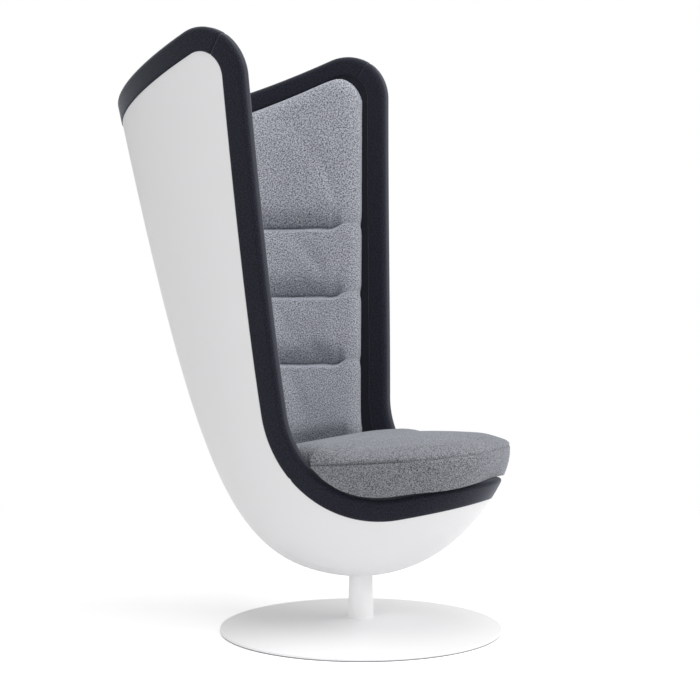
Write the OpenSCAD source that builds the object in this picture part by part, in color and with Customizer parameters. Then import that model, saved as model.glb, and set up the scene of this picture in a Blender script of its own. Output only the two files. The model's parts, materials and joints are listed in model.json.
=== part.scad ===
// Pod chair: a deep moulded shell with a padded rim, lining, channelled back pad and loose seat
// cushion, turning on a column with a disc foot. Millimetres. The origin is on the floor at the
// column's axis, +Z is up and the sitter faces -Y.

/* [Shell form] */
// Height of the shell's underside at the column
shell_foot_z = 140; // [136:1:146]
// Back line: reach of the flat foot before the wall turns up
back_foot_y = 315; // [300:1:328]
// Back line: reach of the bend
back_bend_y = 421; // [408:1:434]
// Back line: height of the bend
back_bend_z = 286; // [270:1:300]
// Back line: reach at its reference height
back_top_y = 689; // [665:1:713]
// Back line: its reference height
back_top_z = 1445; // [1400:1:1490]
// Front line: reach of the flat foot
front_foot_y = 137; // [126:1:146]
// Front line: reach of the bend
front_bend_y = 290; // [280:1:300]
// Front line: height of the bend
front_bend_z = 227; // [218:1:236]
// Front line: reach at the lip
front_lip_y = 379; // [370:1:388]
// Front line: its reference height
front_lip_z = 425; // [414:1:437]
// Side line: reach of the flat foot
side_foot_x = 268; // [254:1:280]
// Side line: reach of the bend
side_bend_x = 286; // [275:1:298]
// Side line: height of the bend
side_bend_z = 337; // [322:1:350]
// Side line: reach at its reference height
side_top_x = 396; // [378:1:414]
// Side line: its reference height
side_top_z = 1495; // [1460:1:1530]
// How far behind the column the widest line lies, low on the shell
widest_low_y = 59; // [50:1:68]
// How far behind the column the widest line lies, at the top
widest_top_y = 112; // [100:1:124]
// Wall of the moulded shell
shell_t = 6; // [4:0.5:8]

/* [Rim line] */
// Height of the rim at the middle of the back
rim_back_z = 1297; // [1277:1:1317]
// Wing peak: place of the corner, before it is rounded
peak_y = 119; // [108:1:130]
// Wing peak: height of the corner, before it is rounded
peak_z = 1515; // [1490:1:1540]
// Radius of the wing peak
peak_r = 122; // [108:1:134]
// Low corner beside the seat, before it is rounded
seat_corner_y = 44; // [34:1:54]
// Height of the low corner, before it is rounded
seat_corner_z = 322; // [311:1:333]
// Radius of the low corner
seat_corner_r = 213; // [198:1:226]
// Height of the rim at the front lip
rim_lip_z = 397; // [389:1:405]
// How far the wing's edge bows forward
edge_bow = 3; // [1:0.5:4]

/* [Rim band] */
// Height of the band on the outside
band_outer_h = 58; // [52:1:64]
// Height of the band on the inside
band_inner_h = 50; // [44:1:56]
// Thickness of the band
band_t = 38; // [34:1:42]
// How far the band stands proud of the shell
band_proud = 2; // [1:0.5:3]
// Radius of the band's outer edge
band_outer_r = 12; // [8:1:15]
// Radius of the band's inner edge
band_inner_r = 14; // [9:1:17]

/* [Lining] */
// Wall of the hidden inner shell
inner_shell_t = 5; // [4:0.5:6]
// Gap left between the nested walls
nest_gap = 0.5; // [0.3:0.1:1]
// How far the lining's face lies below the band's inner face
lining_set = 2; // [1:0.5:3]

/* [Back pad] */
// Heights of the three sewn channels, on the shell behind them
channel_low_z = 628; // [600:1:650]
// Middle channel
channel_mid_z = 807; // [785:1:830]
// Top channel
channel_top_z = 988; // [965:1:1010]
// Full thickness of the pad
pad_t = 46; // [36:1:52]
// Thickness of the pad at its sewn edge
pad_edge_t = 12; // [8:1:16]
// Depth of the fold at a channel
channel_depth = 27; // [15:1:30]
// Height of the fold above a channel's stitching
channel_up = 30; // [22:1:36]
// Height of the fold below a channel's stitching
channel_down = 13; // [9:1:18]
// Gap between the pad's top and the band
pad_top_gap = 7; // [4:1:12]
// Where the pad's side edge lies at the seat
pad_side_low_y = 118; // [110:1:128]
// Where the pad's side edge lies at its top
pad_side_top_y = 170; // [162:1:178]

/* [Seat cushion] */
// Half width of the cushion across its shoulders
cushion_half_w = 266; // [252:1:280]
// How far the cushion reaches forward of the column
cushion_front_y = 364; // [350:1:376]
// Where the shoulders begin, forward of the column
shoulder_y = 2; // [-2:1:15]
// Height of the cushion's top seam over the column
cushion_seam_z = 439; // [432:1:448]
// Height of the crown above the seam, over the column
cushion_crown = 40; // [28:1:44]
// Distance over which the crown turns down
crown_turn = 60; // [40:1:90]
// How far the foot of the side is drawn in
cushion_draw = 13; // [6:1:18]
// Board under the cushion
board_t = 12; // [9:1:15]

/* [Seat pan] */
// Height of the pan's top face
pan_top_z = 350; // [346:1:354]
// Thickness of the pan
pan_t = 12; // [9:1:15]

/* [Foot] */
// Diameter of the disc
disc_d = 700; // [660:5:740]
// Height of the disc's edge above the floor
disc_edge_z = 8; // [7.5:0.5:11]
// Rise of the disc from its edge to the column
disc_rise = 23; // [15:1:30]
// Sheet of the disc's cover
cover_t = 2.5; // [2:0.5:3]
// Thickness of the pad on the floor
floor_pad_t = 3; // [2:0.5:3]
// How far the ballast plate stays inside the disc's edge
ballast_inset = 60; // [50:1:90]
// Diameter of the column at its foot
column_foot_d = 64; // [60:1:70]
// Diameter of the column at its top
column_top_d = 58; // [56:1:60]
// Diameter of the flange at the column's foot
flange_d = 150; // [130:5:170]
// Thickness of the flange at the column's foot
flange_t = 10; // [8:1:12]

/* [Swivel] */
// Diameter of the spindle
spindle_d = 30; // [26:1:32]
// Wall of the two bushes
bush_t = 4; // [3:0.5:4.5]
// Length of each bush
bush_h = 26; // [20:1:30]
// Diameter of the bearing balls
ball_d = 6; // [5:0.5:6]
// Number of bearing balls
ball_count = 16; // [12:1:18]
// Diameter of the plate that carries the seat
swivel_plate_d = 190; // [170:5:200]
// Thickness of that plate
swivel_plate_t = 8; // [6:1:10]
// Height of the block in the shell's foot
block_top_z = 168; // [165:1:172]
// Diameter of the pedestal's tube
pedestal_d = 76; // [60:1:90]
// Reach of the pedestal's arms
arm_reach = 165; // [140:5:175]

/* [Hidden] */

// Clearances: between seated pieces, in running fits, and past a surface that is cut
seat_gap = 0.3;
run_gap = 0.04;
cut = 1;

// Form curves of the shell. Each is a Bezier curve from the foot, read as reach against height.
curve_steps = 48;
form_top_z = side_top_z + band_outer_h;
function bezier(p, t) =
    pow(1 - t, 3) * p[0] + 3 * t * pow(1 - t, 2) * p[1] + 3 * t * t * (1 - t) * p[2] + pow(t, 3) * p[3];
function reach_table(foot, bend, end) =
    let (p = [[0, shell_foot_z], [foot, shell_foot_z], bend, end],
         lean = (end[0] - bend[0]) / (end[1] - bend[1]))
    concat([for (i = [0:curve_steps]) let (q = bezier(p, i / curve_steps)) [q[1], q[0]]],
           [[form_top_z, end[0] + lean * (form_top_z - end[1])]]);
back_table = reach_table(back_foot_y, [back_bend_y, back_bend_z], [back_top_y, back_top_z]);
front_table = reach_table(front_foot_y, [front_bend_y, front_bend_z], [front_lip_y, front_lip_z]);
side_table = reach_table(side_foot_x, [side_bend_x, side_bend_z], [side_top_x, side_top_z]);
function back_y(z) = lookup(z, back_table);
function front_y(z) = -lookup(z, front_table);
function side_x(z) = lookup(z, side_table);

// The widest line moves back smoothly as the shell rises.
widest_rate_share = 10;
function widest_y(z) =
    let (t = (z - shell_foot_z) / (side_top_z - shell_foot_z))
    widest_low_y * (1 - exp(-widest_rate_share * t)) * (1 - t) + widest_top_y * t;

// A point of the form: angle 0 is the middle of the back, 90 the left side, 180 the front.
function reach_at(a, z) =
    cos(a) >= 0 ? back_y(z) - widest_y(z) : widest_y(z) - front_y(z);
function form(a, z) = [side_x(z) * sin(a), widest_y(z) + reach_at(a, z) * cos(a), z];
function angle_of(y, z) =
    y >= widest_y(z) ? acos(min(1, (y - widest_y(z)) / (back_y(z) - widest_y(z))))
                     : acos(max(-1, (y - widest_y(z)) / (widest_y(z) - front_y(z))));
function place_angle(p, z) =
    let (dy = p[1] - widest_y(z), ry = dy >= 0 ? back_y(z) - widest_y(z) : widest_y(z) - front_y(z))
    atan2(p[0] / side_x(z), dy / ry);
function unit(v) = v / norm(v);
probe_angle = 0.5;
probe_z = shell_t / 6;
function outward(a, z) =
    unit(cross(form(a, z + probe_z) - form(a, z - probe_z),
               form(a + probe_angle, z) - form(a - probe_angle, z)));
function skin(a, z, d) = form(a, z) + d * outward(a, z);

// Rim line in side view: back, rounded peak, wing edge with a slight bow, rounded seat corner, lip.
rim_a = [back_y(rim_back_z), rim_back_z];
rim_b = [peak_y, peak_z];
rim_c = [seat_corner_y, seat_corner_z];
rim_d = [front_y(rim_lip_z), rim_lip_z];
function round_corner(a, b, c, r) =
    let (u = unit(a - b), v = unit(c - b), half = acos(u * v) / 2,
         centre = b + unit(u + v) * r / sin(half), s = b + u * r / tan(half), e = b + v * r / tan(half),
         a0 = atan2(s[1] - centre[1], s[0] - centre[0]), a1 = atan2(e[1] - centre[1], e[0] - centre[0]),
         sweep = a1 - a0 > 180 ? a1 - a0 - 360 : a1 - a0 < -180 ? a1 - a0 + 360 : a1 - a0)
    [centre, s, e, a0, sweep, r];
function on_corner(k, t) = k[0] + k[5] * [cos(k[3] + k[4] * t), sin(k[3] + k[4] * t)];
peak = round_corner(rim_a, rim_b, rim_c, peak_r);
low = round_corner(rim_b, rim_c, rim_d, seat_corner_r);

// Runs of stations along half of the rim, from the middle of the back to the middle of the lip
back_run = 9;
peak_run = 8;
wing_run = 9;
low_run = 8;
lip_run = 9;
peak_at = back_run;
wing_at = peak_at + peak_run;
low_at = wing_at + wing_run;
lip_at = low_at + low_run;
rim_end = lip_at + lip_run;

// Height on a straight run of the rim at a given angle, found by repeated substitution
function line_z(p, q, y) = p[1] + (q[1] - p[1]) * (y - p[0]) / (q[0] - p[0]);
function run_z(p, q, a, z, n) = n == 0 ? z : run_z(p, q, a, line_z(p, q, form(a, z)[1]), n - 1);
settle_steps = 6;
peak_start_angle = angle_of(peak[1][0], peak[1][1]);
low_end_angle = angle_of(low[2][0], low[2][1]);
function side_view(q) = [angle_of(q[0], q[1]), q[1]];
function wing_point(t) =
    let (p = peak[2] + (low[1] - peak[2]) * t) [p[0] + edge_bow * 4 * t * (1 - t), p[1]];
// [angle, height] of the rim at station s
function rim_at(s) =
    s <= peak_at ? let (a = peak_start_angle * s / back_run)
        [a, run_z(rim_a, rim_b, a, rim_back_z, settle_steps)] :
    s <= wing_at ? side_view(on_corner(peak, (s - peak_at) / peak_run)) :
    s <= low_at ? side_view(wing_point((s - wing_at) / wing_run)) :
    s <= lip_at ? side_view(on_corner(low, (s - low_at) / low_run)) :
    let (a = low_end_angle + (180 - low_end_angle) * (s - lip_at) / lip_run)
        [a, run_z(rim_c, rim_d, a, rim_lip_z, settle_steps)];
probe_station = 0.02;
function rim_point(s) = let (q = rim_at(s)) form(q[0], q[1]);
function rim_along(s) =
    s < probe_station ? [1, 0, 0] : s > rim_end - probe_station ? [-1, 0, 0] :
    unit(rim_point(s + probe_station) - rim_point(s - probe_station));
// [angle, height] a distance e below the rim on the form, for a point at depth d. The deeper the
// point, the lower it goes where the wall leans, so that the rim's top stays level.
function below_rim(s, e, d = 0) =
    let (q = rim_at(s), n = outward(q[0], q[1]), down = cross(n, rim_along(s)),
         p = form(q[0], q[1]) + (e + d * n[2] * abs(down[2])) * down)
    [place_angle(p, p[2]), p[2]];

// Station s runs past either end onto the mirrored half.
function folded(s) = s < 0 ? -s : s > rim_end ? 2 * rim_end - s : s;
function flip(s, p) = (s < 0 || s > rim_end) ? [-p[0], p[1], p[2]] : p;
loop = [for (s = [-rim_end:1:rim_end - 1]) s];

// Meshes from rings of points. Each quad is split along one diagonal, and along the other one for
// the first columns up to half, so that both sides of the chair mirror each other. A torus joins the
// last ring to the first, a wall joins an outer and an inner skin of as many rings, and a capped
// mesh closes both ends on single points.
function band_faces(n, i, j, half = 0) =
    [for (k = [0:n - 1]) let (m = (k + 1) % n, a = i * n + k, b = i * n + m, c = j * n + m, d = j * n + k)
        each (k < half ? [[a, d, b], [b, d, c]] : [[a, c, b], [a, d, c]])];
function flipped(faces) = [for (f = faces) [f[0], f[2], f[1]]];
function join(lists) = [for (l = lists) each l];
function middle(ring) = [for (p = ring) 1] * ring / len(ring);
module torus_mesh(rings) {
    n = len(rings[0]);
    r = len(rings);
    polyhedron(points = join(rings),
               faces = flipped(join([for (i = [0:r - 1]) band_faces(n, i, (i + 1) % r, n / 2)])));
}
module wall_mesh(outer, inner) {
    n = len(outer[0]);
    r = len(outer);
    outer_faces = join([for (i = [0:r - 2]) band_faces(n, i, i + 1, n / 2)]);
    inner_faces = join([for (i = [r:2 * r - 2]) band_faces(n, i, i + 1, n / 2)]);
    polyhedron(points = join(concat(outer, inner)),
               faces = concat(flipped(outer_faces), inner_faces, band_faces(n, 0, r, n / 2),
                              band_faces(n, 2 * r - 1, r - 1, n / 2)));
}
module capped_mesh(rings, first, last, halves = []) {
    n = len(rings[0]);
    r = len(rings);
    sides = join([for (i = [0:r - 2]) band_faces(n, i, i + 1, len(halves) == 0 ? 0 : halves[i])]);
    polyhedron(points = concat(join(rings), [first, last]),
               faces = concat(sides, [for (k = [0:n - 1]) [r * n, k, (k + 1) % n]],
                              [for (k = [0:n - 1]) [r * n + 1, (r - 1) * n + (k + 1) % n, (r - 1) * n + k]]));
}

// Rows of the walls, from the foot to the band's lower edge. All nested walls share their nodes.
rows = 13;
row_power_share = 2.4;
foot_angles = [[0, 0], [peak_at, 40], [wing_at, 62], [low_at, 86], [lip_at, 112], [rim_end, 180]];
first_row_rise = shell_t / 5;
wall_hole_inset = 2.5;
wall_hole_r = column_top_d / 2 - wall_hole_inset;
function row_node(s, j, e, d) =
    let (top = below_rim(s, e, d), t = j / rows, g = pow(t, row_power_share),
         z1 = shell_foot_z + first_row_rise, a1 = lookup(s, foot_angles))
    [a1 + (top[0] - a1) * t, z1 + (top[1] - z1) * g];
function wall_ring(j, e, d, level_d) =
    [for (s = loop) let (q = row_node(folded(s), j, e, level_d)) flip(s, skin(q[0], q[1], d))];
function foot_ring_at(z, r) =
    [for (s = loop) let (a = lookup(folded(s), foot_angles)) flip(s, [r * sin(a), r * cos(a), z])];
wall_top_e = band_outer_h + nest_gap;
function wall_rings(first, d) = [for (j = [first:rows]) wall_ring(j, wall_top_e, d, 0)];
function reversed(l) = [for (i = [len(l) - 1:-1:0]) l[i]];

inner_shell_d = -(shell_t + nest_gap);
lining_d = inner_shell_d - inner_shell_t - nest_gap;
lining_face_d = -(band_t - band_proud - lining_set);
inner_first_row = 6;

// Section of the band in two directions: e below the rim line, d outward of the form
edge_steps = 3;
function quarter(ce, cd, r, a0) =
    [for (i = [0:edge_steps]) let (a = a0 + 90 * i / edge_steps) [ce - r * cos(a), cd + r * sin(a)]];
band_in_d = band_proud - band_t;
lip_round = band_proud;
band_section = concat(
    [[band_outer_h - lip_round, band_proud]],
    reversed(quarter(band_outer_r, band_proud - band_outer_r, band_outer_r, 0)),
    reversed([for (i = [0:edge_steps]) let (a = -90 * (1 - i / edge_steps))
        [band_inner_r - band_inner_r * cos(a), band_in_d + band_inner_r + band_inner_r * sin(a)]]),
    [[band_inner_h, band_in_d], [band_inner_h + lining_set, lining_face_d]]);
band_foot = [[band_outer_h, lining_d], [band_outer_h, 0]];
function band_ring(s) = concat(
    [for (q = band_section) let (b = below_rim(folded(s), q[0], q[1])) flip(s, skin(b[0], b[1], q[1]))],
    [for (q = band_foot) let (b = below_rim(folded(s), q[0])) flip(s, skin(b[0], b[1], q[1]))]);
// Stations of the seams: halfway round the peak, and a little way into the low corner. They are
// whole stations, so that band and walls meet on the same points.
peak_seam = peak_at + peak_run / 2;
low_seam = low_at + 3;
function seam_step(k, run) = seat_gap / 2 / (k[5] * abs(k[4]) * PI / 180 / run);
peak_seam_step = seam_step(peak, peak_run);
low_seam_step = seam_step(low, low_run);
function stations(from, to) = concat([from], [for (s = [ceil(from):1:floor(to)]) s], [to]);
module band_piece(from, to) {
    rings = [for (s = stations(from, to)) band_ring(s)];
    halves = [for (s = stations(from, to)) s < 0 || s >= rim_end ? len(rings[0]) : 0];
    capped_mesh(rings, middle(rings[0]), middle(rings[len(rings) - 1]), halves);
}

// Heights of the foot and of the swivel, from the floor up
cover_slope_share = disc_rise / (disc_d / 2 - column_foot_d / 2);
ballast_r = disc_d / 2 - ballast_inset;
ballast_top_z = disc_edge_z - cover_t + ballast_inset * cover_slope_share - seat_gap;
flange_top_z = ballast_top_z + flange_t;
column_top_z = shell_foot_z - 2 * seat_gap;
cover_top_z = disc_edge_z + disc_rise;
spindle_r = spindle_d / 2;
bore_r = spindle_r + bush_t;
race_t = ball_d / 2;
race_in_r = spindle_r + cut;
race_out_r = bore_r + ball_d;
recess_r = race_out_r + seat_gap;
groove_depth = ball_d / 6;
bearing_h = 2 * race_t + ball_d - 2 * groove_depth + 2 * run_gap;
bearing_pitch_r = (race_in_r + race_out_r) / 2;
shoulder_h = column_top_d / 20;
recess_z = column_top_z - bearing_h - shoulder_h;
upper_bush_z = recess_z - bush_h;
lower_bush_z = flange_top_z + flange_t + bush_h;
counterbore_r = bore_r + bush_t;
washer_t = bush_t * 3 / 4;
ring_t = bush_t * 3 / 8;
groove_r = spindle_r * 9 / 10;
ring_z = lower_bush_z - washer_t - ring_t - 2 * run_gap;
spindle_foot_z = ring_z - 2 * ring_t - washer_t;
block_rim_w = 5;
block_r = swivel_plate_d / 2 + block_rim_w;
plate_z = block_top_z + seat_gap;
plate_top_z = plate_z + swivel_plate_t;

function column_r(z) =
    column_foot_d / 2 + (column_top_d - column_foot_d) / 2 * (z - cover_top_z) / (column_top_z - cover_top_z);

// Screws: shank diameters, with heads and holes worked out from them
base_bolt_d = 10;
plate_screw_d = 8;
pan_screw_d = 6;
hole_share = 1.1;
head_d_share = 1.5;
head_h_share = 1;
hex_share = 0.8;
module cap_screw(d, reach) {
    difference() {
        union() {
            cylinder(h = d * head_h_share, d = d * head_d_share, $fn = 32);
            translate([0, 0, -reach]) cylinder(h = reach, d = d, $fn = 32);
        }
        translate([0, 0, d * head_h_share / 2]) cylinder(h = d, d = d * hex_share, $fn = 6);
    }
}
module around(r, count, turn) {
    for (i = [0:count - 1]) rotate([0, 0, turn + 360 * i / count]) translate([r, 0, 0]) children();
}
module tube(z0, z1, r_in, r_out) {
    translate([0, 0, z0]) difference() {
        cylinder(h = z1 - z0, r = r_out, $fn = 64);
        translate([0, 0, -cut]) cylinder(h = z1 - z0 + 2 * cut, r = r_in, $fn = 64);
    }
}
module hole(z0, z1, r) {
    translate([0, 0, z0 - cut]) cylinder(h = z1 - z0 + 2 * cut, r = r, $fn = 48);
}

// Foot

base_bolt_r = (flange_d / 2 + counterbore_r) / 2;
base_bolt_count = 4;
ballast_t = ballast_top_z - floor_pad_t;

module floor_pad() {
    color("#202020") cylinder(h = floor_pad_t, r = disc_d / 2 - cover_t / 2, $fn = 128);
}

module ballast_plate() {
    color("#55585c") difference() {
        translate([0, 0, floor_pad_t]) cylinder(h = ballast_t, r = ballast_r, $fn = 128);
        around(base_bolt_r, base_bolt_count, 45) {
            hole(floor_pad_t, ballast_top_z, base_bolt_d * hole_share / 2);
            translate([0, 0, floor_pad_t - cut])
                cylinder(h = cut + bolt_sink, r = base_bolt_d * head_d_share / 2 + seat_gap, $fn = 48);
        }
    }
}
bolt_sink = ballast_t / 2;

module base_cover() {
    edge_r = disc_d / 2;
    hole_r = column_r(cover_top_z) + seat_gap;
    round_r = cover_t * 4 / 5;
    color("#ecedee") rotate_extrude($fn = 128) polygon([
        [hole_r, cover_top_z], [edge_r - round_r, disc_edge_z + round_r * cover_slope_share],
        [edge_r - round_r / 4, disc_edge_z - round_r / 4], [edge_r, disc_edge_z - round_r],
        [edge_r, floor_pad_t], [edge_r - cover_t, floor_pad_t],
        [edge_r - cover_t, disc_edge_z - cover_t + cover_t * cover_slope_share],
        [hole_r, cover_top_z - cover_t]]);
}

module column() {
    color("#ecedee") difference() {
        union() {
            translate([0, 0, ballast_top_z]) cylinder(h = flange_t, d = flange_d, $fn = 96);
            translate([0, 0, flange_top_z])
                cylinder(h = column_top_z - flange_top_z, r1 = column_r(flange_top_z), r2 = column_top_d / 2,
                         $fn = 96);
        }
        hole(lower_bush_z, recess_z, bore_r);
        translate([0, 0, recess_z])
            cylinder(h = column_top_z - recess_z + cut, r = recess_r, $fn = 64);
        translate([0, 0, ballast_top_z - cut])
            cylinder(h = lower_bush_z - ballast_top_z + cut, r = counterbore_r, $fn = 64);
        around(base_bolt_r, base_bolt_count, 45) hole(ballast_top_z, flange_top_z, base_bolt_d / 2 + run_gap);
    }
}

module foot_ring() {
    ring_h = cover_t * 4 / 3;
    in_r = column_r(cover_top_z) + run_gap;
    color("#e4e5e6") rotate_extrude($fn = 96) polygon([
        [in_r, cover_top_z + run_gap], [in_r + ring_h, cover_top_z + run_gap],
        [in_r + ring_h * 3 / 4, cover_top_z + ring_h / 2], [in_r + ring_h / 4, cover_top_z + ring_h * 4 / 5],
        [in_r, cover_top_z + ring_h]]);
}

module base_bolts() {
    reach = flange_top_z - floor_pad_t - bolt_head_low_h;
    color("#3a3c40") around(base_bolt_r, base_bolt_count, 45)
        difference() {
            union() {
                translate([0, 0, floor_pad_t + seat_gap])
                    cylinder(h = bolt_head_low_h, r = base_bolt_d * head_d_share / 2, $fn = 32);
                translate([0, 0, floor_pad_t + bolt_head_low_h])
                    cylinder(h = reach, d = base_bolt_d, $fn = 32);
            }
            translate([0, 0, floor_pad_t])
                cylinder(h = bolt_head_low_h / 2, d = base_bolt_d * hex_share, $fn = 6);
        }
}
bolt_head_low_h = bolt_sink - seat_gap;

// Swivel bearing

module lower_bush() {
    color("#b08d57") tube(lower_bush_z, lower_bush_z + bush_h, spindle_r + run_gap, bore_r - run_gap);
}

module upper_bush() {
    color("#b08d57") tube(upper_bush_z, upper_bush_z + bush_h, spindle_r + run_gap, bore_r - run_gap);
}

ball_z = recess_z + race_t - groove_depth + run_gap + ball_d / 2;
module race(z0) {
    color("#9a9da1") difference() {
        tube(z0, z0 + race_t, race_in_r, race_out_r);
        translate([0, 0, ball_z]) rotate_extrude($fn = 64)
            translate([bearing_pitch_r, 0]) circle(r = ball_d / 2 + run_gap, $fn = 32);
    }
}

module lower_race() {
    race(recess_z);
}

module upper_race() {
    race(ball_z + ball_d / 2 - groove_depth + run_gap);
}

module ball_cage() {
    cage_t = ball_d / 3;
    color("#caa45a") difference() {
        tube(ball_z - cage_t / 2, ball_z + cage_t / 2, race_in_r + cut, race_out_r - cut);
        around(bearing_pitch_r, ball_count, 0)
            hole(ball_z - cage_t / 2, ball_z + cage_t / 2, ball_d / 2 + 2 * run_gap);
    }
}

module bearing_balls() {
    color("#d0d3d6") around(bearing_pitch_r, ball_count, 0)
        translate([0, 0, ball_z]) sphere(d = ball_d, $fn = 24);
}

upper_race_top_z = ball_z + ball_d / 2 - groove_depth + run_gap + race_t;
shoulder_r = wall_hole_r - 2 * cut;
nut_h = 10;
thread_over = 2;
nut_d = 45;
module spindle() {
    thread_top_z = plate_top_z + nut_h + thread_over;
    color("#8f9296") difference() {
        union() {
            translate([0, 0, spindle_foot_z])
                cylinder(h = thread_top_z - spindle_foot_z, r = spindle_r, $fn = 64);
            translate([0, 0, upper_race_top_z])
                cylinder(h = plate_z - upper_race_top_z, r = shoulder_r, $fn = 64);
        }
        tube(ring_z - run_gap, ring_z + ring_t + run_gap, groove_r, spindle_r + cut);
    }
}

module end_washer() {
    color("#9a9da1") tube(lower_bush_z - washer_t - run_gap, lower_bush_z - run_gap, spindle_r + run_gap,
                          counterbore_r - 2 * cut);
}

module retaining_ring() {
    gap_a = 20;
    color("#2c2d30") difference() {
        tube(ring_z, ring_z + ring_t, groove_r + run_gap, spindle_r + 2 * ring_t);
        translate([0, 0, ring_z - cut]) rotate([0, 0, -gap_a / 2])
            rotate_extrude(angle = gap_a, $fn = 64) square([spindle_r + 4 * ring_t, ring_t + 2 * cut]);
    }
}

// Seat carrier inside the shell

plate_screw_inset = 22;
plate_screw_r = swivel_plate_d / 2 - plate_screw_inset;
plate_screw_count = 4;
pedestal_flange_w = 24;
pedestal_screw_w = 14;
pedestal_flange_r = pedestal_d / 2 + pedestal_flange_w;
pedestal_screw_r = pedestal_d / 2 + pedestal_screw_w;
insert_d = 12;
insert_h = 10;

module swivel_plate() {
    color("#3f4246") difference() {
        translate([0, 0, plate_z]) cylinder(h = swivel_plate_t, d = swivel_plate_d, $fn = 96);
        hole(plate_z, plate_top_z, spindle_r + run_gap);
        around(plate_screw_r, plate_screw_count, 45)
            hole(plate_z, plate_top_z, plate_screw_d * hole_share / 2);
        around(pedestal_screw_r, plate_screw_count, 0)
            hole(plate_z, plate_top_z, plate_screw_d / 2 + run_gap);
    }
}

module spindle_nut() {
    color("#8f9296") difference() {
        translate([0, 0, plate_top_z + run_gap]) cylinder(h = nut_h, d = nut_d, $fn = 6);
        hole(plate_top_z, plate_top_z + nut_h, spindle_r + run_gap);
    }
}

// The round block's underside follows the shell's floor on its steepest side, which is the front.
block_rows = 8;
function floor_point(j) =
    let (q = row_node(rim_end, j, wall_top_e, 0), p = skin(q[0], q[1], -shell_t - seat_gap))
    [-p[1], p[2] + seat_gap];
floor_line = concat([[0, shell_foot_z + shell_t + seat_gap]], [for (j = [0:block_rows]) floor_point(j)]);
module foot_block() {
    hole_r = wall_hole_r + cut;
    underside = [for (p = floor_line) if (p[0] > hole_r && p[0] < block_r) p];
    color("#c9a97a") difference() {
        rotate_extrude($fn = 96) polygon(concat(
            [[hole_r, block_top_z], [hole_r, lookup(hole_r, floor_line)]],
            underside,
            [[block_r, lookup(block_r, floor_line)], [block_r, block_top_z]]
        ));
        around(plate_screw_r, plate_screw_count, 45)
            hole(block_top_z - insert_h, block_top_z, insert_d / 2 + run_gap);
    }
}

module insert_nuts() {
    color("#b9bcc0") around(plate_screw_r, plate_screw_count, 45)
        tube(block_top_z - insert_h + cut, block_top_z, plate_screw_d / 2 + run_gap, insert_d / 2);
}

module plate_screws() {
    color("#2c2d30") around(plate_screw_r, plate_screw_count, 45)
        translate([0, 0, plate_top_z + run_gap]) cap_screw(plate_screw_d, swivel_plate_t + insert_h - cut);
}

arm_w = 32;
arm_t = 8;
pedestal_top_z = pan_top_z - pan_t - seat_gap;
pedestal_tube_t = 3;
pedestal_flange_t = 6;
pan_screw_inset = 16;
pan_screw_r = arm_reach - pan_screw_inset;
gusset_t = 6;
module seat_pedestal() {
    z0 = plate_top_z + seat_gap;
    h = pedestal_top_z - z0;
    r = pedestal_d / 2;
    root = pedestal_tube_t / 2;
    drop = (h - arm_t) / 2;
    color("#3f4246") difference() {
        union() {
            translate([0, 0, z0]) cylinder(h = pedestal_flange_t, r = pedestal_flange_r, $fn = 96);
            translate([0, 0, z0]) cylinder(h = h - arm_t / 2, r = r, $fn = 96);
            for (i = [0:3]) rotate([0, 0, 45 + 90 * i]) {
                translate([0, -arm_w / 2, pedestal_top_z - arm_t]) cube([arm_reach, arm_w, arm_t]);
                translate([r - root, gusset_t / 2, pedestal_top_z - arm_t]) rotate([90, 0, 0])
                    linear_extrude(gusset_t)
                        polygon([[0, 0], [arm_reach - r - arm_w, 0], [0, -drop]]);
            }
        }
        hole(z0, pedestal_top_z, r - pedestal_tube_t);
        around(pedestal_screw_r, plate_screw_count, 0)
            hole(z0, z0 + pedestal_flange_t, plate_screw_d * hole_share / 2);
        around(pan_screw_r, plate_screw_count, 45)
            hole(pedestal_top_z - arm_t, pedestal_top_z, pan_screw_d * hole_share / 2);
    }
}

module pedestal_screws() {
    color("#2c2d30") around(pedestal_screw_r, plate_screw_count, 0)
        translate([0, 0, plate_top_z + seat_gap + pedestal_flange_t + run_gap])
            cap_screw(plate_screw_d, pedestal_flange_t + swivel_plate_t);
}

// Outline of the well inside the band and lining at a height, a clearance in from their faces
well_steps = 48;
// The wall's slope lifts a point inside the form, so the place on the form is found a little lower.
function under(a, z, d) = z - d * outward(a, z - d * outward(a, z)[2])[2];
function well_point(a, z, in) =
    let (d = band_in_d - in, p = skin(a, under(a, z, d), d)) [p[0], p[1]];
function well_outline(z, in) = [for (i = [0:well_steps - 1]) well_point(360 * i / well_steps - 180, z, in)];
pan_clear = 6;
module seat_pan() {
    z0 = pan_top_z - pan_t;
    color("#b08a58") difference() {
        translate([0, 0, z0]) linear_extrude(pan_t) polygon(well_outline(z0, pan_clear));
        around(pan_screw_r, plate_screw_count, 45) hole(z0, pan_top_z, pan_screw_d / 2 + run_gap);
    }
}

module pan_screws() {
    color("#2c2d30") around(pan_screw_r, plate_screw_count, 45)
        translate([0, 0, pedestal_top_z - arm_t - run_gap]) rotate([180, 0, 0])
            cap_screw(pan_screw_d, arm_t + pan_t);
}

// Shells, lining and rim

module outer_shell() {
    color("#eceded") wall_mesh(
        concat([foot_ring_at(shell_foot_z, wall_hole_r)], wall_rings(0, 0)),
        concat([foot_ring_at(shell_foot_z + shell_t, wall_hole_r)], wall_rings(0, -shell_t)));
}

module inner_shell() {
    color("#8c8f94") wall_mesh(wall_rings(inner_first_row, inner_shell_d),
                               wall_rings(inner_first_row, inner_shell_d - inner_shell_t));
}

module shell_lining() {
    top_ring = wall_ring(rows, band_inner_h + lining_set + nest_gap, lining_face_d, lining_face_d);
    face_rings = [for (j = [inner_first_row:rows - 1]) wall_ring(j, wall_top_e, lining_face_d, 0)];
    color("#282b33") wall_mesh(wall_rings(inner_first_row, lining_d), concat(face_rings, [top_ring]));
}

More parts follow.
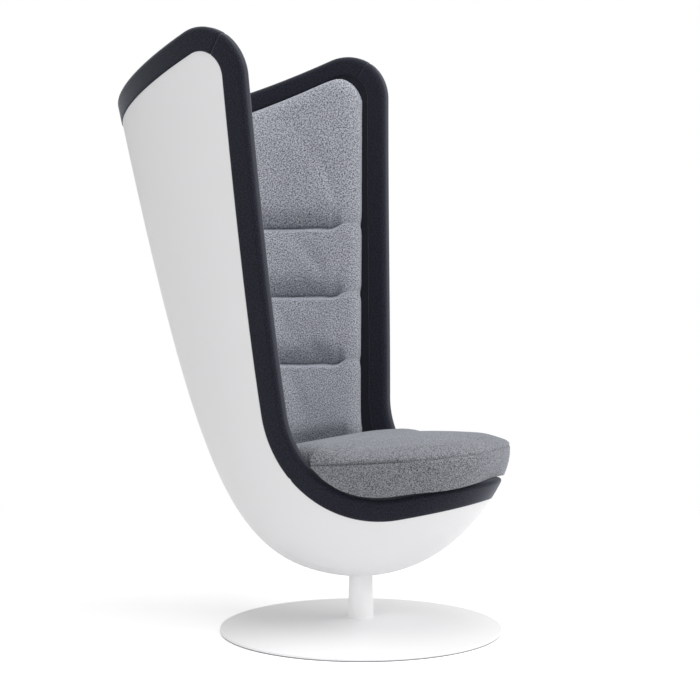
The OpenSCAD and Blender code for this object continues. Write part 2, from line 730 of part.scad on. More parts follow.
module collar_band() {
    color("#2a2d35") band_piece(-peak_seam + peak_seam_step, peak_seam - peak_seam_step);
}

module left_wing_band() {
    color("#2a2d35") band_piece(peak_seam + peak_seam_step, low_seam - low_seam_step);
}

module right_wing_band() {
    color("#2a2d35") mirror([1, 0, 0]) band_piece(peak_seam + peak_seam_step, low_seam - low_seam_step);
}

module lip_band() {
    color("#2a2d35") band_piece(low_seam + low_seam_step, 2 * rim_end - low_seam - low_seam_step);
}

// Seat cushion: plan outline with shoulders in front of the wings, over a plug that sits in the well

cushion_front_power_share = 2.7;
cushion_lift_share = 0.08;
cushion_front_steps = 26;
cushion_rear_steps = 20;
cushion_clear = 4;
cushion_wall_z = cushion_seam_z - cushion_draw;
rear_start_angle = angle_of(0, cushion_wall_z);
rear_half_w = skin(rear_start_angle, cushion_wall_z, band_in_d)[0];
cushion_mid_y = -shoulder_y - cushion_half_w / 5;
function power(v, n) = sign(v) * pow(abs(v), n);
function smooth(t) = let (c = min(1, max(0, t))) c * c * (3 - 2 * c);
function front_plan(i, half_w, front) =
    let (a = 180 * i / cushion_front_steps, n = 2 / cushion_front_power_share)
    [half_w * power(cos(a), n), -shoulder_y - (front - shoulder_y) * pow(sin(a), n)];
function rear_plan(i, in) =
    let (a = -rear_start_angle + 2 * rear_start_angle * i / (cushion_rear_steps - 1),
         y = well_point(a, cushion_wall_z, cushion_clear)[1])
    well_point(a, seam_height(y) - cushion_draw, cushion_clear + in / 3);
// Outline a distance in from the seam, for a ring at share k of the way out to it. Towards the
// middle the shoulders fade into the width of the well.
shoulder_from_share = 0.7;
function shoulder_share(k) = smooth((k - shoulder_from_share) / (1 - shoulder_from_share));
function cushion_plan(in, k = 1) = concat(
    [for (i = [0:cushion_front_steps])
        front_plan(i, rear_half_w + (cushion_half_w - rear_half_w) * shoulder_share(k) - in,
                   cushion_front_y - in)],
    [for (i = [0:cushion_rear_steps - 1]) rear_plan(i, in)]);
plug_z = pan_top_z + board_t + 2 * seat_gap;
rim_heights = [for (s = [low_at:rim_end]) rim_at(s)];
function rim_height(p) = lookup(abs(place_angle(p, rim_lip_z)), rim_heights);
function seam_height(y) = cushion_seam_z - cushion_lift_share * y;
band_clear = 3.5;
seam_edge_h = 2;
function under_height(p) =
    min(seam_height(p[1]) - (p[1] > 0 ? cushion_draw : seam_edge_h),
        max(plug_z + seam_edge_h, rim_height(p) + band_clear));
// Plug: its foot and its top both keep clear of the well's wall.
function plug_angle(i) =
    i <= cushion_front_steps
        ? rear_start_angle + (360 - 2 * rear_start_angle) * (i + 1) / (cushion_front_steps + 2)
        : -rear_start_angle
            + 2 * rear_start_angle * (i - 1 - cushion_front_steps) / (cushion_rear_steps - 1);
plug_points = [for (i = [0:cushion_front_steps + cushion_rear_steps])
    let (a = plug_angle(i), p = well_point(a, plug_z, cushion_clear), z = under_height(p),
         q = well_point(a, z, cushion_clear + (i > cushion_front_steps ? cushion_draw / 2 : 0)))
    [p, [q[0], q[1], z]]];
function shrink(plan, k) = [for (p = plan) [p[0] * k, cushion_mid_y + (p[1] - cushion_mid_y) * k]];
function at_height(plan, lift) = [for (p = plan) [p[0], p[1], seam_height(p[1]) + lift]];
crown_fall_share = 0.052;
crown_power_share = 5;
function crown_at(y) = cushion_crown - crown_fall_share * (norm([y, crown_turn]) - crown_turn);
function crown_z(y, k) = seam_height(y) + crown_at(y) * sqrt(1 - pow(k, crown_power_share));
function crown_ring(k) =
    [for (p = shrink(cushion_plan(0, k), k)) [p[0], p[1], crown_z(p[1], k)]];
crown_shares = [0.985, 0.95, 0.88, 0.75, 0.55, 0.3];
plug_shares = [0.4, 0.8];
module seat_cushion() {
    plug = [for (p = plug_points) p[0]];
    rings = concat(
        [for (k = plug_shares) [for (p = shrink(plug, k)) [p[0], p[1], plug_z]]],
        [[for (p = plug) [p[0], p[1], plug_z]],
         [for (p = plug_points) p[1]],
         [for (p = cushion_plan(cushion_draw)) [p[0], p[1], under_height(p) + seat_gap]],
         [for (p = cushion_plan(cushion_draw / 3))
             [p[0], p[1], (under_height(p) + seam_height(p[1])) / 2]],
         at_height(cushion_plan(0), 0)],
        [for (k = crown_shares) crown_ring(k)]);
    color("#8e9197") capped_mesh(reversed(rings), [0, cushion_mid_y, crown_z(cushion_mid_y, 0)],
                                 [0, cushion_mid_y, plug_z]);
}

board_inset = 12;
module cushion_board() {
    color("#b08a58") translate([0, 0, pan_top_z + seat_gap]) linear_extrude(board_t)
        polygon(well_outline(pan_top_z - pan_t, pan_clear + board_inset));
}

// Back pad: a quilted pad on the lining, thinned at its edges and folded at each channel

pad_back_d = lining_face_d - 4 * nest_gap;
pad_face_d = pad_back_d - pad_t;
pad_top_line = [for (s = [0:0.5:wing_at]) below_rim(s, band_inner_h + pad_top_gap, lining_face_d)];
pad_corner_angle = 12;
pad_side_power_share = 0.6;
function pad_side_angle(z) =
    let (t = max(0, (z - cushion_seam_z) / (rim_back_z - cushion_seam_z)))
    angle_of(pad_side_low_y + (pad_side_top_y - pad_side_low_y) * pow(t, pad_side_power_share), z);
column_shares = [-1, -0.97, -0.93, -0.86, -0.76, -0.62, -0.47, -0.3, -0.1, 0.1, 0.3, 0.47, 0.62, 0.76, 0.86,
                 0.93, 0.97, 1];
channels = [channel_low_z, channel_mid_z, channel_top_z];
channel_shares = [-1.1, -0.5, 0, 0.5, 1.1];
function pad_top_z(a) =
    let (from_side = pad_side_angle(rim_back_z) - abs(a), r = pad_corner_angle,
         drop = from_side < r ? pad_t * (1 - sqrt(max(0, 1 - pow(1 - max(0, from_side) / r, 2)))) : 0)
    lookup(min(abs(a), pad_top_line[len(pad_top_line) - 1][0]), pad_top_line) - drop;
// The pad's foot lies just over the cushion's top, whatever the depth of the point.
rear_reaches = [for (i = [cushion_rear_steps / 2:cushion_rear_steps - 1])
    let (p = rear_plan(i, 0) - [0, cushion_mid_y]) [atan2(p[0], p[1]), norm(p)]];
function cushion_top_z(p) =
    let (q = [p[0], p[1] - cushion_mid_y])
    crown_z(p[1], min(1, norm(q) / lookup(abs(atan2(q[0], q[1])), rear_reaches)));
pad_foot_gap = 0.8;
function pad_low_z(a, d) =
    let (z0 = under(a, cushion_seam_z, d), z1 = under(a, cushion_top_z(skin(a, z0, d)), d))
    under(a, cushion_top_z(skin(a, z1, d)) + pad_foot_gap, d);
// Rows of the pad as [section, share]: section 0 rises to the first channel, and so on
function pad_row_z(a, row, d) =
    row[0] == 0 ? channels[row[1]] + row[2] * (row[2] > 0 ? channel_up : channel_down) :
    let (lo = row[1] == 0 ? pad_low_z(a, d) : channels[row[1] - 1] + channel_up * channel_shares[4],
         hi = row[1] == 3 ? pad_top_z(a) : channels[row[1]] + channel_down * channel_shares[0])
    lo + (hi - lo) * row[2];
pad_rows = concat(
    [for (t = [0, 0.04, 0.12, 0.35, 0.7]) [1, 0, t]], [for (t = channel_shares) [0, 0, t]], [[1, 1, 0.5]],
    [for (t = channel_shares) [0, 1, t]], [[1, 2, 0.5]],
    [for (t = channel_shares) [0, 2, t]], [for (t = [0.25, 0.5, 0.75, 0.9, 0.97, 1]) [1, 3, t]]);
// Each fold is deep behind the sitter and fades to a shallow sewn line near the pad's sides.
fold_fade_share = 0.84;
fold_side_share = 0.15;
fold_power_share = 1.5;
function fold(u, z) =
    let (fade = smooth((abs(u) - fold_fade_share) / (1 - fold_fade_share) * 2),
         deep = 1 - (1 - fold_side_share) * fade)
    max([for (c = channels) let (t = z > c ? (z - c) / channel_up : (c - z) / channel_down)
        t < 1 ? deep * pow(1 - t, fold_power_share) : 0]);
side_power_share = 8;
end_power_share = 2.5;
function pad_thickness(u, a, z) =
    let (edge_z = min(pad_top_z(a) - z, z - pad_low_z(a, pad_face_d)) / pad_t,
         side = sqrt(max(0, 1 - pow(abs(u), side_power_share))),
         ends = sqrt(max(0, 1 - pow(1 - min(1, max(0, edge_z)), end_power_share))))
    pad_edge_t + (pad_t - pad_edge_t) * side * ends - channel_depth * fold(u, z) * side;
function pad_angle(u, row) = u * pad_side_angle(min(pad_row_z(0, row, pad_face_d), rim_back_z));
function pad_point(u, row) =
    let (a = pad_angle(u, row), d = pad_back_d - pad_thickness(u, a, pad_row_z(a, row, pad_face_d)))
    skin(a, pad_row_z(a, row, d), d);
function pad_back_point(u, row) =
    let (a = pad_angle(u, row)) skin(a, pad_row_z(a, row, pad_back_d), pad_back_d);
function pad_ring(row) = concat([for (u = column_shares) pad_point(u, row)],
                                reversed([for (u = column_shares) pad_back_point(u, row)]));
function pad_cap(n, base) = join([for (k = [0:n - 2])
    [[base + k, base + k + 1, base + 2 * n - 2 - k],
     [base + k, base + 2 * n - 2 - k, base + 2 * n - 1 - k]]]);
module back_pad() {
    rings = [for (row = pad_rows) pad_ring(row)];
    n = len(column_shares);
    r = len(rings);
    color("#a3a6ab") polyhedron(points = join(rings),
        faces = concat(join([for (i = [0:r - 2]) band_faces(2 * n, i, i + 1)]),
                       pad_cap(n, 0), flipped(pad_cap(n, (r - 1) * 2 * n))));
}

floor_pad();
ballast_plate();
base_cover();
column();
foot_ring();
base_bolts();
lower_bush();
upper_bush();
lower_race();
ball_cage();
bearing_balls();
upper_race();
spindle();
end_washer();
retaining_ring();
swivel_plate();
spindle_nut();
foot_block();
insert_nuts();
plate_screws();
seat_pedestal();
pedestal_screws();
seat_pan();
pan_screws();
outer_shell();
inner_shell();
shell_lining();
collar_band();
left_wing_band();
right_wing_band();
lip_band();
back_pad();
seat_cushion();
cushion_board();
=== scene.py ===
import json
import math

import bmesh
import bpy
import numpy as np
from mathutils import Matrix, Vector
from mathutils.bvhtree import BVHTree


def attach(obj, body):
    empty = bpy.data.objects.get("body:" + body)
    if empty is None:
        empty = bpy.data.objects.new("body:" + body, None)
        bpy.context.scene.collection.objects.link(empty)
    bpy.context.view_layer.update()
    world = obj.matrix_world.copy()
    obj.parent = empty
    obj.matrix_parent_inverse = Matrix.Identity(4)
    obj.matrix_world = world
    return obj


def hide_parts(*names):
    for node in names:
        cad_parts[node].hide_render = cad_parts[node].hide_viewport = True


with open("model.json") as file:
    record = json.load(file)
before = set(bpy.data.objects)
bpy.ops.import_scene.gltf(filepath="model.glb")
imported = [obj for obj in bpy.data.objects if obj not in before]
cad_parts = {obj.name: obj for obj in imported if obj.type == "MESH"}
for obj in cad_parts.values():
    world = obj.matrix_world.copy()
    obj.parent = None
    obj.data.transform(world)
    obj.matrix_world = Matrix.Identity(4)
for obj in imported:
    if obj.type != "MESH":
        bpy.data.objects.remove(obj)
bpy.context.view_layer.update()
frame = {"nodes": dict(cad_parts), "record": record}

# Camera, solved on the photograph
CAMERA_HEADING = 62.644
CAMERA_PITCH = 3.354
CAMERA_BEARING = 63.0
CAMERA_DISTANCE = 4.32575
CAMERA_HEIGHT = 0.95048
FOCAL_PIXELS = 1755.3
PHOTO_WIDTH = 700
SENSOR_WIDTH = 36.0


def add_camera():
    """Puts the camera where the photograph was taken from."""
    camera = bpy.data.cameras.new("photo_camera")
    camera.sensor_width = SENSOR_WIDTH
    camera.lens = FOCAL_PIXELS * SENSOR_WIDTH / PHOTO_WIDTH
    camera.clip_end = 60
    holder = bpy.data.objects.new("photo_camera", camera)
    bearing = math.radians(CAMERA_BEARING)
    holder.location = (
        -CAMERA_DISTANCE * math.sin(bearing),
        -CAMERA_DISTANCE * math.cos(bearing),
        CAMERA_HEIGHT,
    )
    holder.rotation_euler = (math.radians(90 - CAMERA_PITCH), 0, math.radians(-CAMERA_HEADING))
    bpy.context.scene.collection.objects.link(holder)
    bpy.context.scene.camera = holder


add_camera()

# Form of the shell, as in the part's source
MM = 0.001
SHELL_FOOT_Z = 140
BACK_LINE = (315, (421, 286), (689, 1445))
FRONT_LINE = (137, (290, 227), (379, 425))
SIDE_LINE = (268, (286, 337), (396, 1495))
WIDEST_LOW_Y = 59
WIDEST_TOP_Y = 112
WIDEST_RATE = 10
SHELL_T = 6
RIM_BACK_Z = 1297
PEAK = (119, 1515)
PEAK_R = 122
SEAT_CORNER = (44, 322)
SEAT_CORNER_R = 213
RIM_LIP_Z = 397
EDGE_BOW = 3
BAND_OUTER_H = 58
BAND_INNER_H = 50
BAND_T = 38
BAND_PROUD = 2
BAND_OUTER_R = 12
BAND_INNER_R = 14
NEST_GAP = 0.5
INNER_SHELL_T = 5
LINING_SET = 2
WALL_HOLE_R = 26.5
FORM_TOP_Z = SIDE_LINE[2][1] + BAND_OUTER_H
BAND_IN_D = BAND_PROUD - BAND_T
LINING_D = -(SHELL_T + INNER_SHELL_T + 2 * NEST_GAP)
LINING_FACE_D = BAND_IN_D + LINING_SET
CURVE_STEPS = 1500
LEAST_LENGTH = 1e-12
NORMAL_STEP_Z = 1
NORMAL_STEP_A = 0.5
HEIGHT_PASSES = 12


def reach_table(line):
    """Heights and reaches along one form curve, with a straight run above its end."""
    foot, bend, end = line
    t = np.linspace(0, 1, CURVE_STEPS)
    knots = [(0, SHELL_FOOT_Z), (foot, SHELL_FOOT_Z), bend, end]
    shares = [(1 - t) ** 3, 3 * t * (1 - t) ** 2, 3 * t * t * (1 - t), t**3]
    reach = sum(s * k[0] for s, k in zip(shares, knots))
    height = sum(s * k[1] for s, k in zip(shares, knots))
    lean = (end[0] - bend[0]) / (end[1] - bend[1])
    return (
        np.append(height, FORM_TOP_Z),
        np.append(reach, end[0] + lean * (FORM_TOP_Z - end[1])),
    )


BACK_TABLE = reach_table(BACK_LINE)
FRONT_TABLE = reach_table(FRONT_LINE)
SIDE_TABLE = reach_table(SIDE_LINE)


def back_y(z):
    return np.interp(z, *BACK_TABLE)


def front_y(z):
    return -np.interp(z, *FRONT_TABLE)


def side_x(z):
    return np.interp(z, *SIDE_TABLE)


def widest_y(z):
    """How far behind the column the widest line lies at a height."""
    t = (z - SHELL_FOOT_Z) / (SIDE_LINE[2][1] - SHELL_FOOT_Z)
    return WIDEST_LOW_Y * (1 - np.exp(-WIDEST_RATE * t)) * (1 - t) + WIDEST_TOP_Y * t


def form(a, z):
    """Points of the outer form: angle 0 is the middle of the back, 90 the left side."""
    a = np.radians(a)
    mid = widest_y(z)
    reach = np.where(np.cos(a) >= 0, back_y(z) - mid, mid - front_y(z))
    return np.stack([side_x(z) * np.sin(a), mid + reach * np.cos(a), z + 0 * a], -1)


def angle_of(y, z):
    """Angle on the form of a point in side view."""
    mid = widest_y(z)
    behind = np.clip((y - mid) / (back_y(z) - mid), -1, 1)
    ahead = np.clip((y - mid) / (mid - front_y(z)), -1, 1)
    return np.degrees(np.arccos(np.where(y >= mid, behind, ahead)))


def place_angle(p):
    """Angle on the form of a point at its own height."""
    z = p[..., 2]
    dy = p[..., 1] - widest_y(z)
    reach = np.where(dy >= 0, back_y(z) - widest_y(z), widest_y(z) - front_y(z))
    return np.degrees(np.arctan2(p[..., 0] / side_x(z), dy / reach))


def unit(v):
    return v / np.maximum(np.linalg.norm(v, axis=-1, keepdims=True), LEAST_LENGTH)


def even(value, like):
    """The same value at every place of another array."""
    return np.full(np.shape(like), float(value))


def outward(a, z):
    """Direction straight out of the form."""
    up = form(a, z + NORMAL_STEP_Z) - form(a, z - NORMAL_STEP_Z)
    along = form(a + NORMAL_STEP_A, z) - form(a - NORMAL_STEP_A, z)
    return unit(np.cross(up, along))


def skin(a, z, d):
    """Points at depth d off the form: positive is outwards."""
    return form(a, z) + np.asarray(d)[..., None] * outward(a, z)


# Rim line in side view: back, rounded peak, wing edge, rounded seat corner, lip
BACK_RUN, PEAK_RUN, WING_RUN, LOW_RUN, LIP_RUN = 9, 8, 9, 8, 9
PEAK_AT = BACK_RUN
WING_AT = PEAK_AT + PEAK_RUN
LOW_AT = WING_AT + WING_RUN
LIP_AT = LOW_AT + LOW_RUN
RIM_END = LIP_AT + LIP_RUN
PEAK_SEAM = PEAK_AT + PEAK_RUN / 2
LOW_SEAM_STATIONS = 3
LOW_SEAM = LOW_AT + LOW_SEAM_STATIONS
RIM_A = np.array([float(back_y(RIM_BACK_Z)), RIM_BACK_Z])
RIM_D = np.array([float(front_y(RIM_LIP_Z)), RIM_LIP_Z])


def round_corner(a, b, c, r):
    """Centre, tangent points, start angle, sweep and radius of a rounded corner."""
    u, v = unit(a - b), unit(c - b)
    half = math.acos(float(u @ v)) / 2
    centre = b + unit(u + v) * r / math.sin(half)
    start, end = b + u * r / math.tan(half), b + v * r / math.tan(half)
    a0 = math.atan2(*(start - centre)[::-1])
    a1 = math.atan2(*(end - centre)[::-1])
    sweep = (a1 - a0 + math.pi) % (2 * math.pi) - math.pi
    return centre, start, end, a0, sweep, r


PEAK_ARC = round_corner(RIM_A, np.array(PEAK), np.array(SEAT_CORNER), PEAK_R)
LOW_ARC = round_corner(np.array(PEAK), np.array(SEAT_CORNER), RIM_D, SEAT_CORNER_R)


def on_arc(arc, t):
    angle = arc[3] + arc[4] * t
    return arc[0] + arc[5] * np.array([math.cos(angle), math.sin(angle)])


def run_height(p, q, a, z):
    """Height on a straight run of the rim at an angle, by repeated substitution."""
    for _ in range(HEIGHT_PASSES):
        y = form(a, z)[1]
        z = p[1] + (q[1] - p[1]) * (y - p[0]) / (q[0] - p[0])
    return float(z)


def rim_place(s):
    """Angle and height of the rim at one station."""
    if s <= PEAK_AT:
        a = float(angle_of(*PEAK_ARC[1])) * s / BACK_RUN
        return a, run_height(RIM_A, np.array(PEAK), a, RIM_BACK_Z)
    if s <= WING_AT:
        q = on_arc(PEAK_ARC, (s - PEAK_AT) / PEAK_RUN)
    elif s <= LOW_AT:
        t = (s - WING_AT) / WING_RUN
        q = PEAK_ARC[2] + (LOW_ARC[1] - PEAK_ARC[2]) * t + np.array([EDGE_BOW * 4 * t * (1 - t), 0])
    elif s <= LIP_AT:
        q = on_arc(LOW_ARC, (s - LOW_AT) / LOW_RUN)
    else:
        a0 = float(angle_of(*LOW_ARC[2]))
        a = a0 + (180 - a0) * (s - LIP_AT) / LIP_RUN
        return a, run_height(np.array(SEAT_CORNER), RIM_D, a, RIM_LIP_Z)
    return float(angle_of(q[0], q[1])), float(q[1])


RIM_FINE = 24
RIM_STATIONS = np.linspace(0, RIM_END, RIM_END * RIM_FINE + 1)
RIM_TABLE = np.array([rim_place(s) for s in RIM_STATIONS])


def rim_at(s):
    return np.interp(s, RIM_STATIONS, RIM_TABLE[:, 0]), np.interp(s, RIM_STATIONS, RIM_TABLE[:, 1])


def rim_along(s):
    """Direction of the rim line at the stations."""
    step = 1 / RIM_FINE
    ahead = form(*rim_at(np.minimum(s + step, RIM_END)))
    behind = form(*rim_at(np.maximum(s - step, 0)))
    along = unit(ahead - behind)
    along[s < step / 2] = (1, 0, 0)
    along[s > RIM_END - step / 2] = (-1, 0, 0)
    return along


def below_rim(s, e, d):
    """Angle and height a distance e below the rim, lowered for depth d so that the top is level."""
    a, z = rim_at(s)
    n = outward(a, z)
    down = np.cross(n, rim_along(s))
    p = form(a, z) + (e + d * n[..., 2] * np.abs(down[..., 2]))[..., None] * down
    return place_angle(p), p[..., 2]


def both_sides(s, points):
    """Mirrors the points whose stations lie on the other half of the chair."""
    points = points.copy()
    points[..., 0] = np.where((s < 0) | (s > RIM_END), -points[..., 0], points[..., 0])
    return points


def folded(s):
    """Stations of the left half that match those on the other half."""
    return np.where(s < 0, -s, np.where(s > RIM_END, 2 * RIM_END - s, s))


def smooth(t):
    """A soft step from 0 to 1."""
    t = np.clip(t, 0, 1)
    return t * t * (3 - 2 * t)


# Mesh makers


def run_lengths(points, axis):
    """Mean length run along one direction of a grid of points, in metres."""
    steps = np.linalg.norm(np.diff(points, axis=axis), axis=-1).mean(axis=1 - axis)
    return np.concatenate([[0], np.cumsum(steps)]) * MM


SHARP_TURN = math.radians(60)
GRID_HALF = 0.5
WELD = 0.00002


def loft(name, points, closed_u=False, closed_v=False, cap_v=False):
    """A smooth mesh through a grid of points in millimetres, with a UV map in real metres."""
    if closed_u:
        points = np.concatenate([points, points[:1]], 0)
    if closed_v:
        points = np.concatenate([points, points[:, :1]], 1)
    rows, columns = points.shape[:2]
    run_u, run_v = run_lengths(points, 0), run_lengths(points, 1)
    bm = bmesh.new()
    bmesh.ops.create_grid(bm, x_segments=rows - 1, y_segments=columns - 1, size=GRID_HALF)
    uv = bm.loops.layers.uv.new("cloth_run")
    places = {}
    for vert in bm.verts:
        i = round((vert.co.x + GRID_HALF) * (rows - 1))
        j = round((vert.co.y + GRID_HALF) * (columns - 1))
        places[vert] = (i, j)
    for face in bm.faces:
        face.smooth = True
        for corner in face.loops:
            i, j = places[corner.vert]
            corner[uv].uv = (run_u[i], run_v[j])
    for vert, (i, j) in places.items():
        vert.co = Vector(points[i, j]) * MM
    bmesh.ops.remove_doubles(bm, verts=bm.verts, dist=WELD)
    if cap_v:
        open_edges = [e for e in bm.edges if e.is_boundary]
        bmesh.ops.edgeloop_fill(bm, edges=open_edges)
    bmesh.ops.recalc_face_normals(bm, faces=bm.faces)
    for edge in bm.edges:
        edge.smooth = edge.calc_face_angle(0.0) < SHARP_TURN
    mesh = bpy.data.meshes.new(name)
    bm.to_mesh(mesh)
    bm.free()
    piece = bpy.data.objects.new(name, mesh)
    bpy.context.scene.collection.objects.link(piece)
    return piece


def dress(piece, material, body, slot, *nodes):
    """Gives a new piece its material and its body, and hides the nodes it stands for; the slot is not
    used.
    """
    piece.data.materials.append(material)
    if nodes:
        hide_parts(*nodes)
    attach(piece, body)
    return piece


# Materials: patterns run in metres, so a scale of 200 gives about 200 waves in a metre
WARP_STRETCH = (480, 200, 480)
WEFT_STRETCH = (200, 480, 400)
FIBRE_SCALE = 330.0
YARN_SHARE = 0.55
FIBRE_SHARE = 0.45
SHADE_MIN = 0.36
SHADE_MAX = 0.68
BROAD_SCALE = 9.0
BROAD_SHIFT = 0.12
THREAD_SCALE = 190.0
THREAD_RELIEF = 0.5
YARN_RELIEF = 0.8
CLOTH_ROUGH = 0.82
CLOTH_ROUGH_SPREAD = 0.15
TONE_SCALE = 7.0
TONE_SHARE = 0.03
TONE_GREY = (0.45, 0.45, 0.46, 1)
GLOSS_SPREAD = 0.12
STREAK_STRETCH = (60, 60, 1400)
STREAK_SHARE = 0.35
STREAK_GREY = (0.18, 0.18, 0.18, 1)
METAL_ROUGH = 0.22
METAL_ROUGH_SPREAD = 0.25
GRAIN_STRETCH = (14, 160, 600)
PORE_BROWN = (0.32, 0.2, 0.1, 1)
WOOD_ROUGH = 0.5
WOOD_ROUGH_SPREAD = 0.2
SLIGHT_BUMP = 0.1
SLIGHT_DEPTH = 0.0004


def new_group(name, inputs):
    """A shader group with named inputs, as (name, type, default), that puts out a surface."""
    group = bpy.data.node_groups.new(name, "ShaderNodeTree")
    group.interface.new_socket("Vector", in_out="INPUT", socket_type="NodeSocketVector")
    for label, kind, value in inputs:
        socket = group.interface.new_socket(label, in_out="INPUT", socket_type=kind)
        socket.default_value = value
    group.interface.new_socket("Color", in_out="OUTPUT", socket_type="NodeSocketColor")
    for label in ("Height", "Roughness"):
        group.interface.new_socket(label, in_out="OUTPUT", socket_type="NodeSocketFloat")
    return group, group.nodes.new("NodeGroupInput")


def put_out(group, colour, height, rough):
    """Joins the three results of a group to its outputs."""
    outer = group.nodes.new("NodeGroupOutput")
    group.links.new(colour, outer.inputs["Color"])
    group.links.new(height, outer.inputs["Height"])
    group.links.new(rough, outer.inputs["Roughness"])
    return group


def add_node(tree, kind, **values):
    """A shader node with its settings, and its inputs where the name is one."""
    node = tree.nodes.new(kind)
    for key, value in values.items():
        if hasattr(node, key):
            setattr(node, key, value)
        else:
            node.inputs[key.replace("_", " ")].default_value = value
    return node


def math_node(tree, operation, first, second, clamp=False):
    """Output of a maths node whose inputs are numbers or other nodes' outputs."""
    node = tree.nodes.new("ShaderNodeMath")
    node.operation = operation
    node.use_clamp = clamp
    for socket, value in zip(node.inputs, (first, second)):
        if isinstance(value, (int, float)):
            socket.default_value = value
        else:
            tree.links.new(value, socket)
    return node.outputs[0]


def mix_colours(tree, factor, first, second):
    """Output of a colour mix whose inputs are values or other nodes' outputs."""
    node = add_node(tree, "ShaderNodeMix", data_type="RGBA")
    for socket, value in ((node.inputs[0], factor), (node.inputs[6], first), (node.inputs[7], second)):
        if isinstance(value, (int, float, tuple)):
            socket.default_value = value
        else:
            tree.links.new(value, socket)
    return node.outputs[2]


def stretched(tree, vector, scale):
    """The vector scaled apart in its three directions."""
    node = add_node(tree, "ShaderNodeMapping")
    node.inputs["Scale"].default_value = scale
    tree.links.new(vector, node.inputs["Vector"])
    return node.outputs[0]


def make_melange():
    """Melange cloth: yarns of two shades in both directions, with a plain weave's relief."""
    group, inner = new_group("melange_cloth", [
        ("Dark yarn", "NodeSocketColor", (0.1, 0.1, 0.1, 1)),
        ("Light yarn", "NodeSocketColor", (0.5, 0.5, 0.5, 1)),
        ("Flecks", "NodeSocketFloat", 0.5),
    ])
    vector = inner.outputs["Vector"]
    warp = add_node(group, "ShaderNodeTexNoise", Scale=1.0, Detail=2.0, Roughness=0.6)
    group.links.new(stretched(group, vector, WARP_STRETCH), warp.inputs["Vector"])
    weft = add_node(group, "ShaderNodeTexNoise", Scale=1.0, Detail=2.0, Roughness=0.6)
    group.links.new(stretched(group, vector, WEFT_STRETCH), weft.inputs["Vector"])
    fine = add_node(group, "ShaderNodeTexNoise", Scale=FIBRE_SCALE, Detail=3.0, Roughness=0.8)
    group.links.new(vector, fine.inputs["Vector"])
    yarns = math_node(group, "MAXIMUM", warp.outputs[0], weft.outputs[0])
    yarns = math_node(group, "MULTIPLY", yarns, YARN_SHARE)
    total = math_node(group, "ADD", yarns, math_node(group, "MULTIPLY", fine.outputs[0], FIBRE_SHARE))
    spread = add_node(group, "ShaderNodeMapRange", clamp=True)
    group.links.new(total, spread.inputs["Value"])
    spread.inputs["From Min"].default_value = SHADE_MIN
    spread.inputs["From Max"].default_value = SHADE_MAX
    shade = math_node(group, "SUBTRACT", spread.outputs[0], 0.5)
    shade = math_node(group, "MULTIPLY", shade, inner.outputs["Flecks"])
    shade = math_node(group, "ADD", shade, 0.5, clamp=True)
    broad = add_node(group, "ShaderNodeTexNoise", Scale=BROAD_SCALE, Detail=2.0, Roughness=0.5)
    group.links.new(vector, broad.inputs["Vector"])
    shift = math_node(group, "SUBTRACT", broad.outputs[0], 0.5)
    shift = math_node(group, "MULTIPLY", shift, BROAD_SHIFT)
    shade = math_node(group, "ADD", shade, shift, clamp=True)
    colour = mix_colours(group, shade, inner.outputs["Dark yarn"], inner.outputs["Light yarn"])
    waves = []
    for direction in ("X", "Y"):
        wave = add_node(
            group, "ShaderNodeTexWave", wave_type="BANDS", bands_direction=direction, Scale=THREAD_SCALE
        )
        group.links.new(vector, wave.inputs["Vector"])
        waves.append(wave.outputs["Fac"])
    threads = math_node(group, "MULTIPLY", math_node(group, "MULTIPLY", *waves), THREAD_RELIEF)
    height = math_node(group, "ADD", threads, math_node(group, "MULTIPLY", total, YARN_RELIEF))
    rough = math_node(group, "MULTIPLY", fine.outputs[0], CLOTH_ROUGH_SPREAD)
    rough = math_node(group, "ADD", rough, CLOTH_ROUGH, clamp=True)
    return put_out(group, colour, height, rough)


def make_coating():
    """Fine grain of paint or moulded plastic: a faint tone shift, a skin's ripple and its gloss."""
    group, inner = new_group("smooth_coating", [
        ("Colour", "NodeSocketColor", (0.8, 0.8, 0.8, 1)),
        ("Grain", "NodeSocketFloat", 300.0),
        ("Gloss", "NodeSocketFloat", 0.4),
    ])
    vector = inner.outputs["Vector"]
    ripple = add_node(group, "ShaderNodeTexNoise", Detail=2.0, Roughness=0.5)
    group.links.new(vector, ripple.inputs["Vector"])
    group.links.new(inner.outputs["Grain"], ripple.inputs["Scale"])
    tone = add_node(group, "ShaderNodeTexNoise", Scale=TONE_SCALE, Detail=3.0, Roughness=0.6)
    group.links.new(vector, tone.inputs["Vector"])
    share = math_node(group, "MULTIPLY", tone.outputs[0], TONE_SHARE)
    colour = mix_colours(group, share, inner.outputs["Colour"], TONE_GREY)
    rough = math_node(group, "SUBTRACT", tone.outputs[0], 0.5)
    rough = math_node(group, "MULTIPLY", rough, GLOSS_SPREAD)
    rough = math_node(group, "ADD", rough, inner.outputs["Gloss"], clamp=True)
    return put_out(group, colour, ripple.outputs[0], rough)


def make_turned():
    """Drawn or turned metal: fine streaks in tone and gloss."""
    group, inner = new_group(
        "turned_metal", [("Colour", "NodeSocketColor", (0.5, 0.5, 0.5, 1))]
    )
    streaks = add_node(group, "ShaderNodeTexNoise", Scale=1.0, Detail=3.0, Roughness=0.6)
    group.links.new(stretched(group, inner.outputs["Vector"], STREAK_STRETCH), streaks.inputs["Vector"])
    share = math_node(group, "MULTIPLY", streaks.outputs[0], STREAK_SHARE)
    colour = mix_colours(group, share, inner.outputs["Colour"], STREAK_GREY)
    rough = math_node(group, "MULTIPLY", streaks.outputs[0], METAL_ROUGH_SPREAD)
    rough = math_node(group, "ADD", rough, METAL_ROUGH)
    return put_out(group, colour, streaks.outputs[0], rough)


